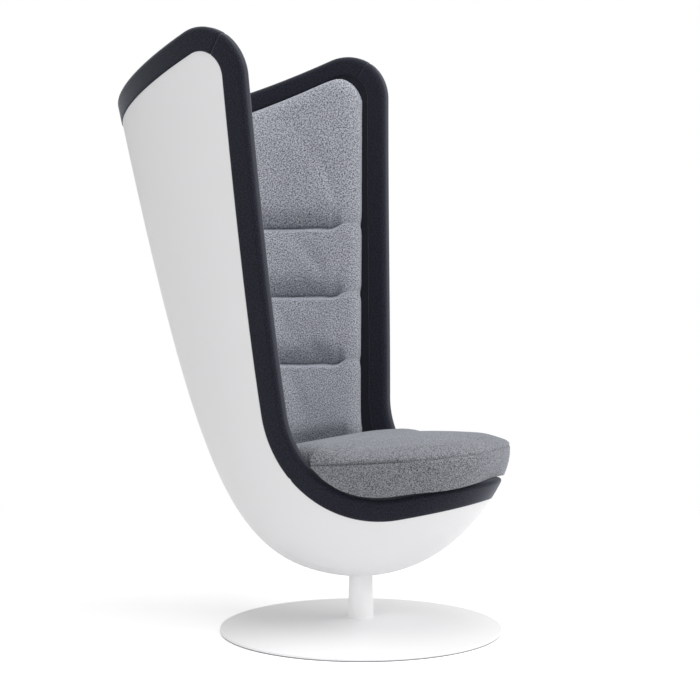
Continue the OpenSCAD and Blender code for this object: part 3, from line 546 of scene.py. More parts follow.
def make_grain():
    """Birch plywood: long grain with fine pores."""
    group, inner = new_group(
        "wood_grain", [("Colour", "NodeSocketColor", (0.6, 0.45, 0.3, 1))]
    )
    lines = add_node(group, "ShaderNodeTexNoise", Scale=1.0, Detail=4.0, Roughness=0.65)
    group.links.new(stretched(group, inner.outputs["Vector"], GRAIN_STRETCH), lines.inputs["Vector"])
    colour = mix_colours(group, lines.outputs[0], inner.outputs["Colour"], PORE_BROWN)
    rough = math_node(group, "MULTIPLY", lines.outputs[0], WOOD_ROUGH_SPREAD)
    rough = math_node(group, "ADD", rough, WOOD_ROUGH)
    return put_out(group, colour, lines.outputs[0], rough)


MELANGE = make_melange()
COATING = make_coating()
TURNED = make_turned()
GRAIN = make_grain()


def finish_of(
    name, group, values, coordinate="Object", bump=SLIGHT_BUMP, depth=SLIGHT_DEPTH, constants=None
):
    """A material whose colour, gloss and relief come from one of the shared groups."""
    material = bpy.data.materials.new(name)
    material.use_nodes = True
    tree = material.node_tree
    shader = tree.nodes["Principled BSDF"]
    place = tree.nodes.new("ShaderNodeTexCoord")
    effect = tree.nodes.new("ShaderNodeGroup")
    effect.node_tree = group
    tree.links.new(place.outputs[coordinate], effect.inputs["Vector"])
    for key, value in values.items():
        effect.inputs[key].default_value = value
    relief = add_node(tree, "ShaderNodeBump", Strength=bump, Distance=depth)
    tree.links.new(effect.outputs["Height"], relief.inputs["Height"])
    tree.links.new(effect.outputs["Color"], shader.inputs["Base Color"])
    tree.links.new(effect.outputs["Roughness"], shader.inputs["Roughness"])
    tree.links.new(relief.outputs["Normal"], shader.inputs["Normal"])
    for key, value in (constants or {}).items():
        shader.inputs[key].default_value = value
    return material


YARN_BLACK = (0.001, 0.001, 0.002, 1)
METAL = {"Metallic": 1.0}
CLOTH = {
    "Sheen Weight": 0.9,
    "Sheen Roughness": 0.45,
    "Sheen Tint": (0.86, 0.91, 1.0, 1),
    "Specular IOR Level": 0.2,
}
FLAT_CLOTH = dict(CLOTH, **{"Sheen Weight": 0.4})


def weave(name, dark, light, flecks, coordinate, bump, depth, constants):
    """A melange cloth of two yarns."""
    values = {"Dark yarn": dark, "Light yarn": light, "Flecks": flecks}
    return finish_of(name, MELANGE, values, coordinate, bump, depth, constants)


def coat(name, colour, grain, gloss, bump=SLIGHT_BUMP, depth=SLIGHT_DEPTH, constants=None):
    """Paint, moulded plastic, rubber or a casting's skin."""
    values = {"Colour": colour, "Grain": grain, "Gloss": gloss}
    return finish_of(name, COATING, values, "Object", bump, depth, constants)


def turn(name, colour):
    """Bare turned metal."""
    return finish_of(name, TURNED, {"Colour": colour}, constants=METAL)


rim_cloth = weave(
    "rim_cloth", YARN_BLACK, (0.0145, 0.0155, 0.030, 1), 4.4, "UV", 0.35, 0.0006, FLAT_CLOTH
)
lining_cloth = weave(
    "lining_cloth", YARN_BLACK, (0.011, 0.012, 0.022, 1), 3.6, "UV", 0.35, 0.0006, FLAT_CLOTH
)
# Painted light: the back pad is the cushion's grey cloth with its yarns made paler, standing in for the
# light that falls on the pad.
pad_cloth_with_painted_light = weave(
    "pad_cloth_with_painted_light", (0.072, 0.074, 0.086, 1), (0.515, 0.53, 0.59, 1), 2.8, "UV", 0.5, 0.0008, CLOTH
)
cushion_cloth = weave(
    "cushion_cloth", (0.05, 0.051, 0.055, 1), (0.295, 0.302, 0.332, 1), 2.5,
    "Object", 0.5, 0.0008, FLAT_CLOTH,
)
shell_white = coat("shell_white", (0.80, 0.80, 0.81, 1), 260.0, 0.42, 0.05, 0.0002)
base_white = coat("base_white", (0.95, 0.95, 0.955, 1), 900.0, 0.46, 0.08, 0.0002)
carrier_black = coat("carrier_black", (0.03, 0.032, 0.035, 1), 900.0, 0.5)
floor_rubber = coat("floor_rubber", (0.3, 0.3, 0.31, 1), 600.0, 0.8)
inner_grey = coat("inner_grey", (0.30, 0.31, 0.33, 1), 200.0, 0.6)
cast_iron = coat("cast_iron", (0.06, 0.06, 0.062, 1), 420.0, 0.6, 0.5, SLIGHT_DEPTH, METAL)
bearing_steel = turn("bearing_steel", (0.55, 0.56, 0.58, 1))
dark_fixings = turn("dark_fixings", (0.06, 0.06, 0.065, 1))
bush_brass = turn("bush_brass", (0.62, 0.44, 0.18, 1))
plywood = finish_of("plywood", GRAIN, {"Colour": (0.62, 0.46, 0.29, 1)})
NODE_FINISHES = {
    "floor_pad": floor_rubber,
    "ballast": cast_iron,
    "base_paint": base_white,
    "bearing_steel": bearing_steel,
    "fixings": dark_fixings,
    "bush_brass": bush_brass,
    "carrier_paint": carrier_black,
    "plywood": plywood,
    "inner_shell_grey": inner_grey,
}


def dress_nodes():
    """Gives every node that stays its own finish."""
    for part in frame["record"]["subparts"]:
        if part["material_slot"] in NODE_FINISHES:
            mesh = frame["nodes"][part["node"]].data
            mesh.materials.clear()
            mesh.materials.append(NODE_FINISHES[part["material_slot"]])


dress_nodes()

# Shell: one wall from the hole over the column, up the outside, over the edge and down the inside
WALL_ROWS = 70
ROW_POWER = 2.4
FIRST_ROW_RISE = SHELL_T / 5
WALL_TOP_E = BAND_OUTER_H + NEST_GAP
FOOT_STATIONS = [0, PEAK_AT, WING_AT, LOW_AT, LIP_AT, RIM_END]
FOOT_ANGLES = [0, 40, 62, 86, 112, 180]
LOOP_STEPS = 6
EDGE_ROUND = 3.4
EDGE_ROWS = 6


def loop_stations():
    """Stations all the way round the rim."""
    return np.arange(-RIM_END * LOOP_STEPS, RIM_END * LOOP_STEPS) / LOOP_STEPS


def wall_rows(s, shares, e, d, level=0.0):
    """Rings of a wall at depth d, from the foot to a distance e below the rim."""
    half = folded(s)
    a_top, z_top = below_rim(half, even(e, s), even(level, s))
    a_foot = np.interp(half, FOOT_STATIONS, FOOT_ANGLES)
    z_foot = SHELL_FOOT_Z + FIRST_ROW_RISE
    rings = []
    for t in shares:
        a = a_foot + (a_top - a_foot) * t
        z = z_foot + (z_top - z_foot) * t**ROW_POWER
        rings.append(both_sides(s, skin(a, z, even(d, s))))
    return rings


def hole_ring(s, z):
    """Edge of the hole over the column at a height."""
    a = np.radians(np.interp(folded(s), FOOT_STATIONS, FOOT_ANGLES))
    return both_sides(s, np.stack([WALL_HOLE_R * np.sin(a), WALL_HOLE_R * np.cos(a), even(z, s)], -1))


def make_shell():
    """The white shell, closed, with a rounded edge under the band."""
    s = loop_stations()
    shares = np.linspace(0, 1, WALL_ROWS + 1)
    rings = [hole_ring(s, SHELL_FOOT_Z)] + wall_rows(s, shares[:-1], WALL_TOP_E, 0)
    for t in np.linspace(0, math.pi / 2, EDGE_ROWS):
        e = WALL_TOP_E - EDGE_ROUND * math.sin(t)
        rings += wall_rows(s, [1], e, -EDGE_ROUND + EDGE_ROUND * math.cos(t))
    rings += wall_rows(s, shares[::-1], WALL_TOP_E - EDGE_ROUND, -SHELL_T)
    rings.append(hole_ring(s, SHELL_FOOT_Z + SHELL_T))
    shell = loft("shell_body", np.stack(rings), closed_u=True, closed_v=True)
    return dress(shell, shell_white, "seat", "shell_white", "outer_shell")


make_shell()

# Lining: padded cloth inside the shell, down from the band's inner edge
LINING_FIRST_SHARE = 6 / 13
LINING_ROWS = 44
LINING_TUCK = 1.6


def make_lining():
    """The dark lining, closed, tucked behind the band's inner edge."""
    s = loop_stations()
    shares = np.linspace(LINING_FIRST_SHARE, 1, LINING_ROWS)
    back = wall_rows(s, shares, WALL_TOP_E, LINING_D)
    top = wall_rows(s, [1], BAND_INNER_H + LINING_TUCK, LINING_FACE_D, LINING_FACE_D)
    face = wall_rows(s, shares[:-1][::-1], WALL_TOP_E, LINING_FACE_D)
    lining = loft("lining_cover", np.stack(back + top + face), closed_u=True, closed_v=True)
    return dress(lining, lining_cloth, "seat", "lining_fabric", "shell_lining")


make_lining()

# Rim covers: the padded band in four sewn lengths
BAND_STEPS = 10
SEAM_DIP = 1.7
SEAM_WIDTH = 2.6
SEAM_STATIONS = (0.01, 0.03, 0.06)
QUARTER_ROWS = 7
OUTER_FACE = (BAND_OUTER_H - 4, BAND_OUTER_R + 2, 8)
INNER_FACE = (BAND_INNER_R + 3, BAND_INNER_H - 3, 7)
INNER_TUCK = ((0, 0.3), (0.9, 1.2), (1.3, 2.6))
OUTER_TUCK = ((0, -4.5), (-0.5, -2.4), (-1.8, -0.7))


def quarter(centre_e, centre_d, r, start):
    """A quarter turn of the band's section, as (e, d) points."""
    turns = np.radians(np.linspace(start, start + 90, QUARTER_ROWS))
    return [(centre_e - r * math.cos(t), centre_d + r * math.sin(t)) for t in turns]


def band_section():
    """Closed section of the band: outer face, rounded top, inner face and hidden foot."""
    outer_face = [(e, BAND_PROUD) for e in np.linspace(*OUTER_FACE)]
    outer_edge = quarter(BAND_OUTER_R, BAND_PROUD - BAND_OUTER_R, BAND_OUTER_R, 0)[::-1]
    inner_edge = quarter(BAND_INNER_R, BAND_IN_D + BAND_INNER_R, BAND_INNER_R, -90)[::-1]
    inner_face = [(e, BAND_IN_D) for e in np.linspace(*INNER_FACE)]
    foot = [(BAND_INNER_H + e, BAND_IN_D + d) for e, d in INNER_TUCK] + [(BAND_OUTER_H, LINING_D)]
    foot += [(BAND_OUTER_H + e, BAND_PROUD + d) for e, d in OUTER_TUCK]
    return outer_face + outer_edge + inner_edge + inner_face + foot


def station_run(start, end):
    """Stations of one length, closer together near its two seams."""
    count = int(round((end - start) * BAND_STEPS))
    near = np.array(SEAM_STATIONS)
    return np.unique(np.concatenate([np.linspace(start, end, count + 1), start + near, end - near]))


def make_band(name, node, start, end):
    """One sewn length of the band, drawn in a little at its seams."""
    s = station_run(start, end)
    half = folded(s)
    along = np.linalg.norm(np.diff(form(*rim_at(half)), axis=0), axis=-1)
    run = np.concatenate([[0], np.cumsum(along)])
    to_seam = np.minimum(run, run[-1] - run)
    dip = SEAM_DIP * np.exp(-((to_seam / SEAM_WIDTH) ** 2))
    middle = np.array([BAND_OUTER_H / 2, BAND_IN_D / 2])
    rings = []
    for e, d in np.array(band_section()):
        inward = middle - (e, d)
        inward = inward / np.linalg.norm(inward)
        ee, dd = e + inward[0] * dip, d + inward[1] * dip
        a, z = below_rim(half, ee, dd)
        rings.append(both_sides(s, skin(a, z, dd)))
    points = np.stack(rings, 1)
    band = loft(name, points, closed_v=True, cap_v=True)
    return dress(band, rim_cloth, "seat", "rim_fabric", node)


make_band("rim_cover_collar", "collar_band", -PEAK_SEAM, PEAK_SEAM)
make_band("rim_cover_left_wing", "left_wing_band", PEAK_SEAM, LOW_SEAM)
make_band("rim_cover_right_wing", "right_wing_band", -LOW_SEAM, -PEAK_SEAM)
make_band("rim_cover_lip", "lip_band", LOW_SEAM, 2 * RIM_END - LOW_SEAM)

# Cloth simulation of the padded pieces
VOXEL = 0.009
PRESSURE = 4.0
STIFFNESS = 10.0
SIM_FRAMES = 20
EVEN_PASSES = 6
CUSHION_SWELL = 3.0
PAD_SWELL = 4.0
NEAREST = 1e-5


def inflate(piece, hold):
    """Voxel copy of a piece, simulated as cloth under pressure: its points before and after."""
    body = bpy.data.objects.new(piece.name + "_cloth", piece.data.copy())
    bpy.context.scene.collection.objects.link(body)
    remesh = body.modifiers.new("remesh", "REMESH")
    remesh.mode = "VOXEL"
    remesh.voxel_size = VOXEL
    graph = bpy.context.evaluated_depsgraph_get()
    body_mesh = bpy.data.meshes.new_from_object(body.evaluated_get(graph))
    body.modifiers.remove(remesh)
    body.data = body_mesh
    held = body.vertex_groups.new(name="held")
    for vert in body_mesh.vertices:
        held.add([vert.index], hold(vert.co / MM), "REPLACE")
    cloth = body.modifiers.new("cloth", "CLOTH")
    cloth.settings.use_pressure = True
    cloth.settings.uniform_pressure_force = PRESSURE
    cloth.settings.effector_weights.gravity = 0
    cloth.settings.vertex_group_mass = "held"
    cloth.settings.bending_stiffness = STIFFNESS
    cloth.point_cache.frame_start = 1
    cloth.point_cache.frame_end = SIM_FRAMES
    scene = bpy.context.scene
    for frame_number in range(1, SIM_FRAMES + 1):
        scene.frame_set(frame_number)
    graph = bpy.context.evaluated_depsgraph_get()
    swollen = body.evaluated_get(graph).data
    before = np.array([vert.co[:] for vert in body_mesh.vertices])
    after = np.array([vert.co[:] for vert in swollen.vertices])
    faces = [list(face.vertices) for face in body_mesh.polygons]
    bpy.data.objects.remove(body, do_unlink=True)
    scene.frame_set(1)
    return before, after, faces


def swell(piece, cap, hold):
    """Moves a padded piece's surface as its simulated copy swelled, by the cap in mm at most."""
    before, after, faces = inflate(piece, hold)
    move = after - before
    pairs = np.array([(f[i - 1], f[i]) for f in faces for i in range(len(f))])
    for _ in range(EVEN_PASSES):
        total, count = np.zeros_like(move), np.zeros((len(move), 1))
        np.add.at(total, pairs[:, 0], move[pairs[:, 1]])
        np.add.at(count, pairs[:, 0], 1)
        move = (move + total / np.maximum(count, 1)) / 2
    length = np.linalg.norm(move, axis=1, keepdims=True)
    move = move * np.minimum(1, cap * MM / np.maximum(length, LEAST_LENGTH))
    tree = BVHTree.FromPolygons([tuple(p) for p in before], faces)
    for vert in piece.data.vertices:
        place, _, index, _ = tree.find_nearest(vert.co)
        corners = faces[index]
        shares = 1 / (np.linalg.norm(before[corners] - np.array(place), axis=1) + NEAREST)
        step = (move[corners] * shares[:, None]).sum(0) / shares.sum()
        vert.co += Vector(step) * (1 - hold(vert.co / MM))


# Seat cushion: crowned top, sewn edge and drawn-in side, over a plug in the well
CUSHION_HALF_W = 266
CUSHION_FRONT_Y = 364
SHOULDER_Y = 2
CUSHION_SEAM_Z = 439
CUSHION_CROWN = 44
CROWN_TURN = 60
CUSHION_DRAW = 13
CUSHION_CLEAR = 4
CUSHION_FRONT_POWER = 2.7
CUSHION_LIFT = 0.08
FRONT_FALL = 0.012
REAR_FALL = 0.13
EDGE_RISE = 9
EDGE_POWER = 34
DOME_POWERS = (3, 14)
DOME_ROUND = 0.6
REAR_Y = (-90, 10)
PAN_TOP_Z = 350
CUSHION_BOARD_T = 12
BOARD_CLEAR = 0.6
PLUG_Z = PAN_TOP_Z + CUSHION_BOARD_T + BOARD_CLEAR
PLUG_INSET = 10
BAND_CLEAR = 3
SIDE_CLEAR = 2.5
GAP_LIFT = 9
GAP_LIFT_Y = -235
GAP_LIFT_RUN = 75
FRONT_CLEAR_ANGLES = (110, 150)
SEAM_EDGE_H = 2
FRONT_STEPS = 320
REAR_STEPS = 160
CUSHION_STEPS = FRONT_STEPS + REAR_STEPS
CUSHION_WALL_Z = CUSHION_SEAM_Z - CUSHION_DRAW
CUSHION_MID_Y = -SHOULDER_Y - CUSHION_HALF_W / 5
SHOULDER_SHARE = 0.7
SIDE_POWER_LOW = 1.6
SIDE_FADE = 4
UNDER_TUCK = 3
SIDE_BULGE = 2.5
PINCH = 6.0
PINCH_H = 2.8
FRONT_PINCH = 0.35
FRONT_PINCH_Y = (-310, -150)
FOLD_LINE_DROP = 13
FOLD_LINE_PINCH = 0.3
PUCKER = 0.8
PUCKER_H = 12
FOLD_LINE_H = 3
GATHER_LENGTHS = (17, 26, 43, 71)
GATHER_PHASE = 1.7
CUSHION_HELD = (2, 14)
PLUG_SHARES = (0.02, 0.3, 0.6, 0.8, 0.92)
SIDE_SHARES = (0, 0.03, 0.08, 0.15, 0.24, 0.34, 0.45)
SEAM_DROP_SHARE = 0.5
SEAM_DROP_STEP = 0.03
SEAM_DROPS = (26, 20, 16, 13, 10.5, 8, 6, 4.4, 3, 1.9, 1, 0.4)
CROWN_SHARES = (
    0.9995, 0.998, 0.995, 0.991, 0.985, 0.978, 0.968, 0.955, 0.94, 0.92, 0.895, 0.865, 0.83, 0.79,
    0.74, 0.68, 0.61, 0.53, 0.44, 0.34, 0.24, 0.15, 0.07, 0.01,
)


def under(a, z, d):
    """Height on the form whose point at depth d has the height z."""
    low = z - d * outward(a, z)[..., 2]
    return z - d * outward(a, low)[..., 2]


def well_point(a, z, inset):
    """Points in plan at a height, an inset in from the band's inner face."""
    d = BAND_IN_D - np.broadcast_to(inset, np.shape(a))
    z = np.broadcast_to(np.asarray(z, float), np.shape(a))
    return skin(a, under(a, z, d), d)[..., :2]


REAR_START = float(angle_of(0, CUSHION_WALL_Z))
REAR_HALF_W = float(skin(REAR_START, float(CUSHION_WALL_Z), float(BAND_IN_D))[0])


def seam_height(y):
    return CUSHION_SEAM_Z - CUSHION_LIFT * y


def cushion_plan(inset, k=1.0):
    """Outline of the cushion a distance in from its seam, for a ring at share k."""
    inset = np.broadcast_to(inset, CUSHION_STEPS)
    ahead, behind = inset[:FRONT_STEPS], inset[FRONT_STEPS:]
    t = np.radians(np.linspace(0, 180, FRONT_STEPS))
    n = 2 / CUSHION_FRONT_POWER
    shoulder = smooth((k - SHOULDER_SHARE) / (1 - SHOULDER_SHARE))
    half_w = REAR_HALF_W + (CUSHION_HALF_W - REAR_HALF_W) * shoulder - ahead
    c = np.cos(t)
    front = np.stack([
        half_w * np.sign(c) * np.abs(c) ** n,
        -SHOULDER_Y - (CUSHION_FRONT_Y - ahead - SHOULDER_Y) * np.sin(t) ** n,
    ], -1)
    a = np.linspace(-REAR_START, REAR_START, REAR_STEPS + 2)[1:-1]
    y = well_point(a, CUSHION_WALL_Z, CUSHION_CLEAR)[..., 1]
    rear = well_point(a, seam_height(y) - CUSHION_DRAW, CUSHION_CLEAR + behind / 3)
    return np.concatenate([front, rear])


RIM_LOW_ANGLES = rim_at(np.linspace(LOW_AT, RIM_END, 200))


def plan_angle(plan, z):
    return place_angle(np.concatenate([plan, np.full((len(plan), 1), float(z))], -1))


def under_height(plan):
    """Height of the cushion's underside: just over the band, at the seam beside the wings."""
    a = np.abs(plan_angle(plan, RIM_LIP_Z))
    near, far = FRONT_CLEAR_ANGLES
    rim = np.interp(a, *RIM_LOW_ANGLES) + SIDE_CLEAR * (1 - smooth((a - near) / (far - near)))
    rim = rim + GAP_LIFT * np.exp(-(((plan[:, 1] - GAP_LIFT_Y) / GAP_LIFT_RUN) ** 2))
    drop = np.where(plan[:, 1] > 0, CUSHION_DRAW, SEAM_EDGE_H)
    return np.minimum(
        seam_height(plan[:, 1]) - drop, np.maximum(PLUG_Z + SEAM_EDGE_H, rim + BAND_CLEAR)
    )


def crown_z(y, k):
    """Height of the crown at a share of the way to the seam: a low dome with a tight sewn edge."""
    fall = np.where(y > 0, REAR_FALL, FRONT_FALL)
    crown = CUSHION_CROWN - fall * (np.hypot(y, CROWN_TURN) - CROWN_TURN)
    rear = smooth((y - REAR_Y[0]) / (REAR_Y[1] - REAR_Y[0]))
    power = DOME_POWERS[0] + (DOME_POWERS[1] - DOME_POWERS[0]) * rear
    edge = np.sqrt(np.maximum(0, 1 - k**EDGE_POWER))
    dome = np.maximum(0, 1 - k**power) ** DOME_ROUND
    return seam_height(y) + EDGE_RISE * edge + (crown - EDGE_RISE) * dome


def ring_at(plan, z):
    """A ring of points over an outline in plan."""
    return np.concatenate([plan, np.broadcast_to(z, len(plan))[:, None]], -1)


def shrink(plan, k):
    """An outline drawn in towards the cushion's middle, to a share of its size."""
    return np.stack([plan[:, 0] * k, CUSHION_MID_Y + (plan[:, 1] - CUSHION_MID_Y) * k], -1)


def gathers(run, shift=0.0):
    """Uneven gathering along a seam, between -1 and 1, for lengths along it."""
    turns = [2 * math.pi * run / length + GATHER_PHASE * length + shift for length in GATHER_LENGTHS]
    return sum(np.sin(turn) for turn in turns) / len(GATHER_LENGTHS)


def seam_pinch(rise, wave, y):
    """How far the cloth is drawn in at a height over or under the sewn edge; less at the front."""
    back = smooth((y - FRONT_PINCH_Y[0]) / (FRONT_PINCH_Y[1] - FRONT_PINCH_Y[0]))
    pull = PINCH * (FRONT_PINCH + (1 - FRONT_PINCH) * back) * np.exp(-((rise / PINCH_H) ** 2))
    below = FOLD_LINE_PINCH * np.exp(-(((rise + FOLD_LINE_DROP) / FOLD_LINE_H) ** 2))
    return pull + below + PUCKER * wave * np.exp(-np.abs(rise) / PUCKER_H)


def make_cushion():
    """The loose seat cushion, from its plug up over the sewn edge to the crown."""
    full = cushion_plan(0)
    low = cushion_plan(CUSHION_DRAW)
    low_z = under_height(low)
    seam_z = seam_height(full[:, 1])
    tall = seam_z - low_z
    steps = np.linalg.norm(np.diff(full, axis=0), axis=1)
    wave = gathers(np.concatenate([[0], np.cumsum(steps)]))
    plug = well_point(plan_angle(low, PLUG_Z), PLUG_Z, PLUG_INSET)
    shelf = well_point(plan_angle(low, RIM_LIP_Z), low_z, PLUG_INSET)
    rings = [ring_at(shrink(plug, k), PLUG_Z) for k in PLUG_SHARES]
    rings += [ring_at(plug, PLUG_Z), ring_at(shelf, low_z)]
    rings.append(ring_at(cushion_plan(CUSHION_DRAW + UNDER_TUCK), low_z))
    sides = [tall * (1 - t) for t in SIDE_SHARES]
    for index, drop in enumerate(SEAM_DROPS):
        sides.append(np.minimum(drop, tall * SEAM_DROP_SHARE * (1 - SEAM_DROP_STEP * index)))
    for drop in sides:
        t = 1 - drop / tall
        inset = CUSHION_DRAW * (1 - t) ** SIDE_POWER_LOW - SIDE_BULGE * np.sin(math.pi * t)
        inset = inset + seam_pinch(-drop, wave, full[:, 1]) * smooth(SIDE_FADE * t)
        rings.append(ring_at(cushion_plan(inset), seam_z - drop))
    for k in CROWN_SHARES:
        rise = crown_z(full[:, 1], k) - seam_z
        plan = shrink(cushion_plan(seam_pinch(rise, wave, full[:, 1]), k), k)
        rings.append(ring_at(plan, crown_z(plan[:, 1], k)))
    cushion = loft("seat_cushion_cover", np.stack(rings, 1), closed_u=True, cap_v=True)

    def hold(p):
        rise = p[2] - seam_height(p[1])
        return 1.0 if rise < CUSHION_HELD[0] else max(0.0, 1 - rise / CUSHION_HELD[1])

    swell(cushion, CUSHION_SWELL, hold)
    return dress(cushion, cushion_cloth, "seat", "cushion_fabric", "seat_cushion")


make_cushion()

# Back pad: quilted pad on the lining with three sewn channels
CHANNELS = (628, 807, 988)
PAD_T = 46
PAD_EDGE_T = 12
CHANNEL_DEPTH = 38
CHANNEL_UP = 66
CHANNEL_DOWN = 16
CREASE_DEPTH = 4
CREASE_H = 3.4
SEAM_LIFT = 6
ROLL_HANG = 7
ROLL_HANG_H = 4
SHOULDER_DROP = 10.5
SHOULDER_DROP_H = 12
ROLL_POWERS = (2.4, 0.75)
SHOULDER_POWERS = (2.0, 0.56)
CHANNEL_SAG = 4
SAG_PLACE = 0.87
SAG_WIDTH = 0.035
CHANNEL_RISE = 16
RISE_START = 0.5
RISE_POWER = 2.5
SIDE_DRAW_SHARE = 0.005
SIDE_DRAW_H = 14
GATHER = 1.1
GATHER_H = 16
PAD_TOP_GAP = 7
PAD_SIDE_LOW_Y = 118
PAD_SIDE_TOP_Y = 170
PAD_SIDE_POWER = 0.6
PAD_CLEAR = 2.0
PAD_BACK_D = LINING_FACE_D - PAD_CLEAR
PAD_FACE_D = PAD_BACK_D - PAD_T
PAD_CORNER_ANGLE = 12
PAD_FOOT_GAP = 0.8
FOLD_FADE = 0.89
FOLD_SIDE = 0.12
FOOT_DEPTH = 42
SIDE_POWER = 8
END_POWER = 2.5
PAD_COLUMNS = 240
ROW_SHARES = (0, 0.004, 0.009, 0.015, 0.024, 0.036, 0.052, 0.074, 0.105, 0.145, 0.195, 0.26, 0.34, 0.42)
GATHER_BELOW = 0.6
GATHER_SHIFT = 2.1
PAD_HELD_H = 14
PAD_HELD_ENDS = 30
PAD_HELD_SIDE = (0.85, 0.1)
SAMPLES = 300
PAD_TOP_STATIONS = np.linspace(0, WING_AT, SAMPLES)
PAD_TOP_LINE = below_rim(
    PAD_TOP_STATIONS,
    even(BAND_INNER_H + PAD_TOP_GAP, PAD_TOP_STATIONS),
    even(LINING_FACE_D, PAD_TOP_STATIONS),
)


def pad_side_angle(z):
    """Angle of the pad's side edge at a height."""
    t = np.maximum(0, (z - CUSHION_SEAM_Z) / (RIM_BACK_Z - CUSHION_SEAM_Z))
    return angle_of(PAD_SIDE_LOW_Y + (PAD_SIDE_TOP_Y - PAD_SIDE_LOW_Y) * t**PAD_SIDE_POWER, z)


def pad_top_z(a):
    """Height of the pad's top edge at an angle, rounded down at the two corners."""
    from_side = pad_side_angle(RIM_BACK_Z) - np.abs(a)
    share = np.clip(from_side / PAD_CORNER_ANGLE, 0, 1)
    drop = PAD_T * (1 - np.sqrt(np.maximum(0, 1 - (1 - share) ** 2)))
    return np.interp(np.abs(a), *PAD_TOP_LINE) - drop


def rear_reach(angles):
    """Distance from the cushion's middle to its rear outline."""
    a = np.linspace(0, REAR_START, 120)
    y = well_point(a, CUSHION_WALL_Z, CUSHION_CLEAR)[..., 1]
    p = well_point(a, seam_height(y) - CUSHION_DRAW, CUSHION_CLEAR) - (0, CUSHION_MID_Y)
    return np.interp(angles, np.degrees(np.arctan2(p[:, 0], p[:, 1])), np.linalg.norm(p, axis=1))


def cushion_top_z(p):
    """Height of the cushion's crown under or over a point."""
    q = p[..., :2] - (0, CUSHION_MID_Y)
    k = np.linalg.norm(q, axis=-1) / rear_reach(np.abs(np.degrees(np.arctan2(q[..., 0], q[..., 1]))))
    return crown_z(p[..., 1], np.minimum(1, k))


def pad_low_z(a, d):
    """Height on the form where the pad stands just over the cushion."""
    z = under(a, even(CUSHION_SEAM_Z, a), d)
    for _ in range(3):
        z = under(a, cushion_top_z(skin(a, z, d)) + PAD_FOOT_GAP, d)
    return z


def channel_z(c, u):
    """Height of a channel across the pad: it rises to the sides, with a small sag where the fold ends."""
    sag = CHANNEL_SAG * np.exp(-(((np.abs(u) - SAG_PLACE) / SAG_WIDTH) ** 2))
    rise = np.maximum(0, (np.abs(u) - RISE_START) / (1 - RISE_START)) ** RISE_POWER
    return c + SEAM_LIFT - sag + CHANNEL_RISE * rise


def channel_fade(u):
    """How far a fold still goes in towards the pad's sides."""
    return 1 - (1 - FOLD_SIDE) * smooth((np.abs(u) - FOLD_FADE) / (1 - FOLD_FADE) * 2)


def rounded(t, powers):
    """Share of a fold's depth a share of the way out of it, as the padding rounds over."""
    near = np.maximum(0, 1 - t) ** powers[0]
    return 1 - np.maximum(0, 1 - near) ** powers[1]


def fold(u, z):
    """Depth of the folds and of the sewn crease in each, in mm."""
    total = 0 * z
    for c in CHANNELS:
        dz = z - channel_z(c, u)
        roll = rounded(dz / CHANNEL_UP, ROLL_POWERS)
        shoulder = rounded(-dz / CHANNEL_DOWN, SHOULDER_POWERS)
        crease = CREASE_DEPTH * np.exp(-((dz / CREASE_H) ** 2))
        deep = CHANNEL_DEPTH * np.where(dz > 0, roll, shoulder) + crease
        total = np.maximum(total, deep * channel_fade(u))
    return total


def hang(u, z):
    """How far the roll over each channel hangs down past its seam, and the shoulder under it drops."""
    total = 0 * z
    for c in CHANNELS:
        dz = z - channel_z(c, u)
        up, down = np.maximum(0, dz), np.maximum(0, -dz)
        roll = ROLL_HANG * up / ROLL_HANG_H * np.exp(1 - up / ROLL_HANG_H)
        shoulder = SHOULDER_DROP * (1 - np.exp(-down)) * np.exp(-down / SHOULDER_DROP_H)
        total = total - (roll + shoulder) * channel_fade(u)
    return total


def pad_gathers(u, z, half_w):
    """Uneven gathering above and below the channels."""
    total = 0 * z
    for index, c in enumerate(CHANNELS):
        dz = np.abs(z - channel_z(c, u))
        above = np.where(z > c, 1.0, GATHER_BELOW)
        total = total + above * gathers(u * half_w, GATHER_SHIFT * index) * np.exp(-dz / GATHER_H)
    return GATHER * total


def pad_rows():
    """Shares of the height between neighbouring channels, closer together at each channel."""
    near = np.array(ROW_SHARES)
    return np.concatenate([near, [0.5], 1 - near[:0:-1]])


def pad_heights(u, a, d):
    """Heights of all the pad's rows at each angle."""
    marks = [pad_low_z(a, d)] + [channel_z(c, u) for c in CHANNELS] + [pad_top_z(a)]
    rows = []
    for low, high in zip(marks[:-1], marks[1:]):
        rows += [low + (high - low) * t for t in pad_rows()]
    return rows + [marks[-1]]


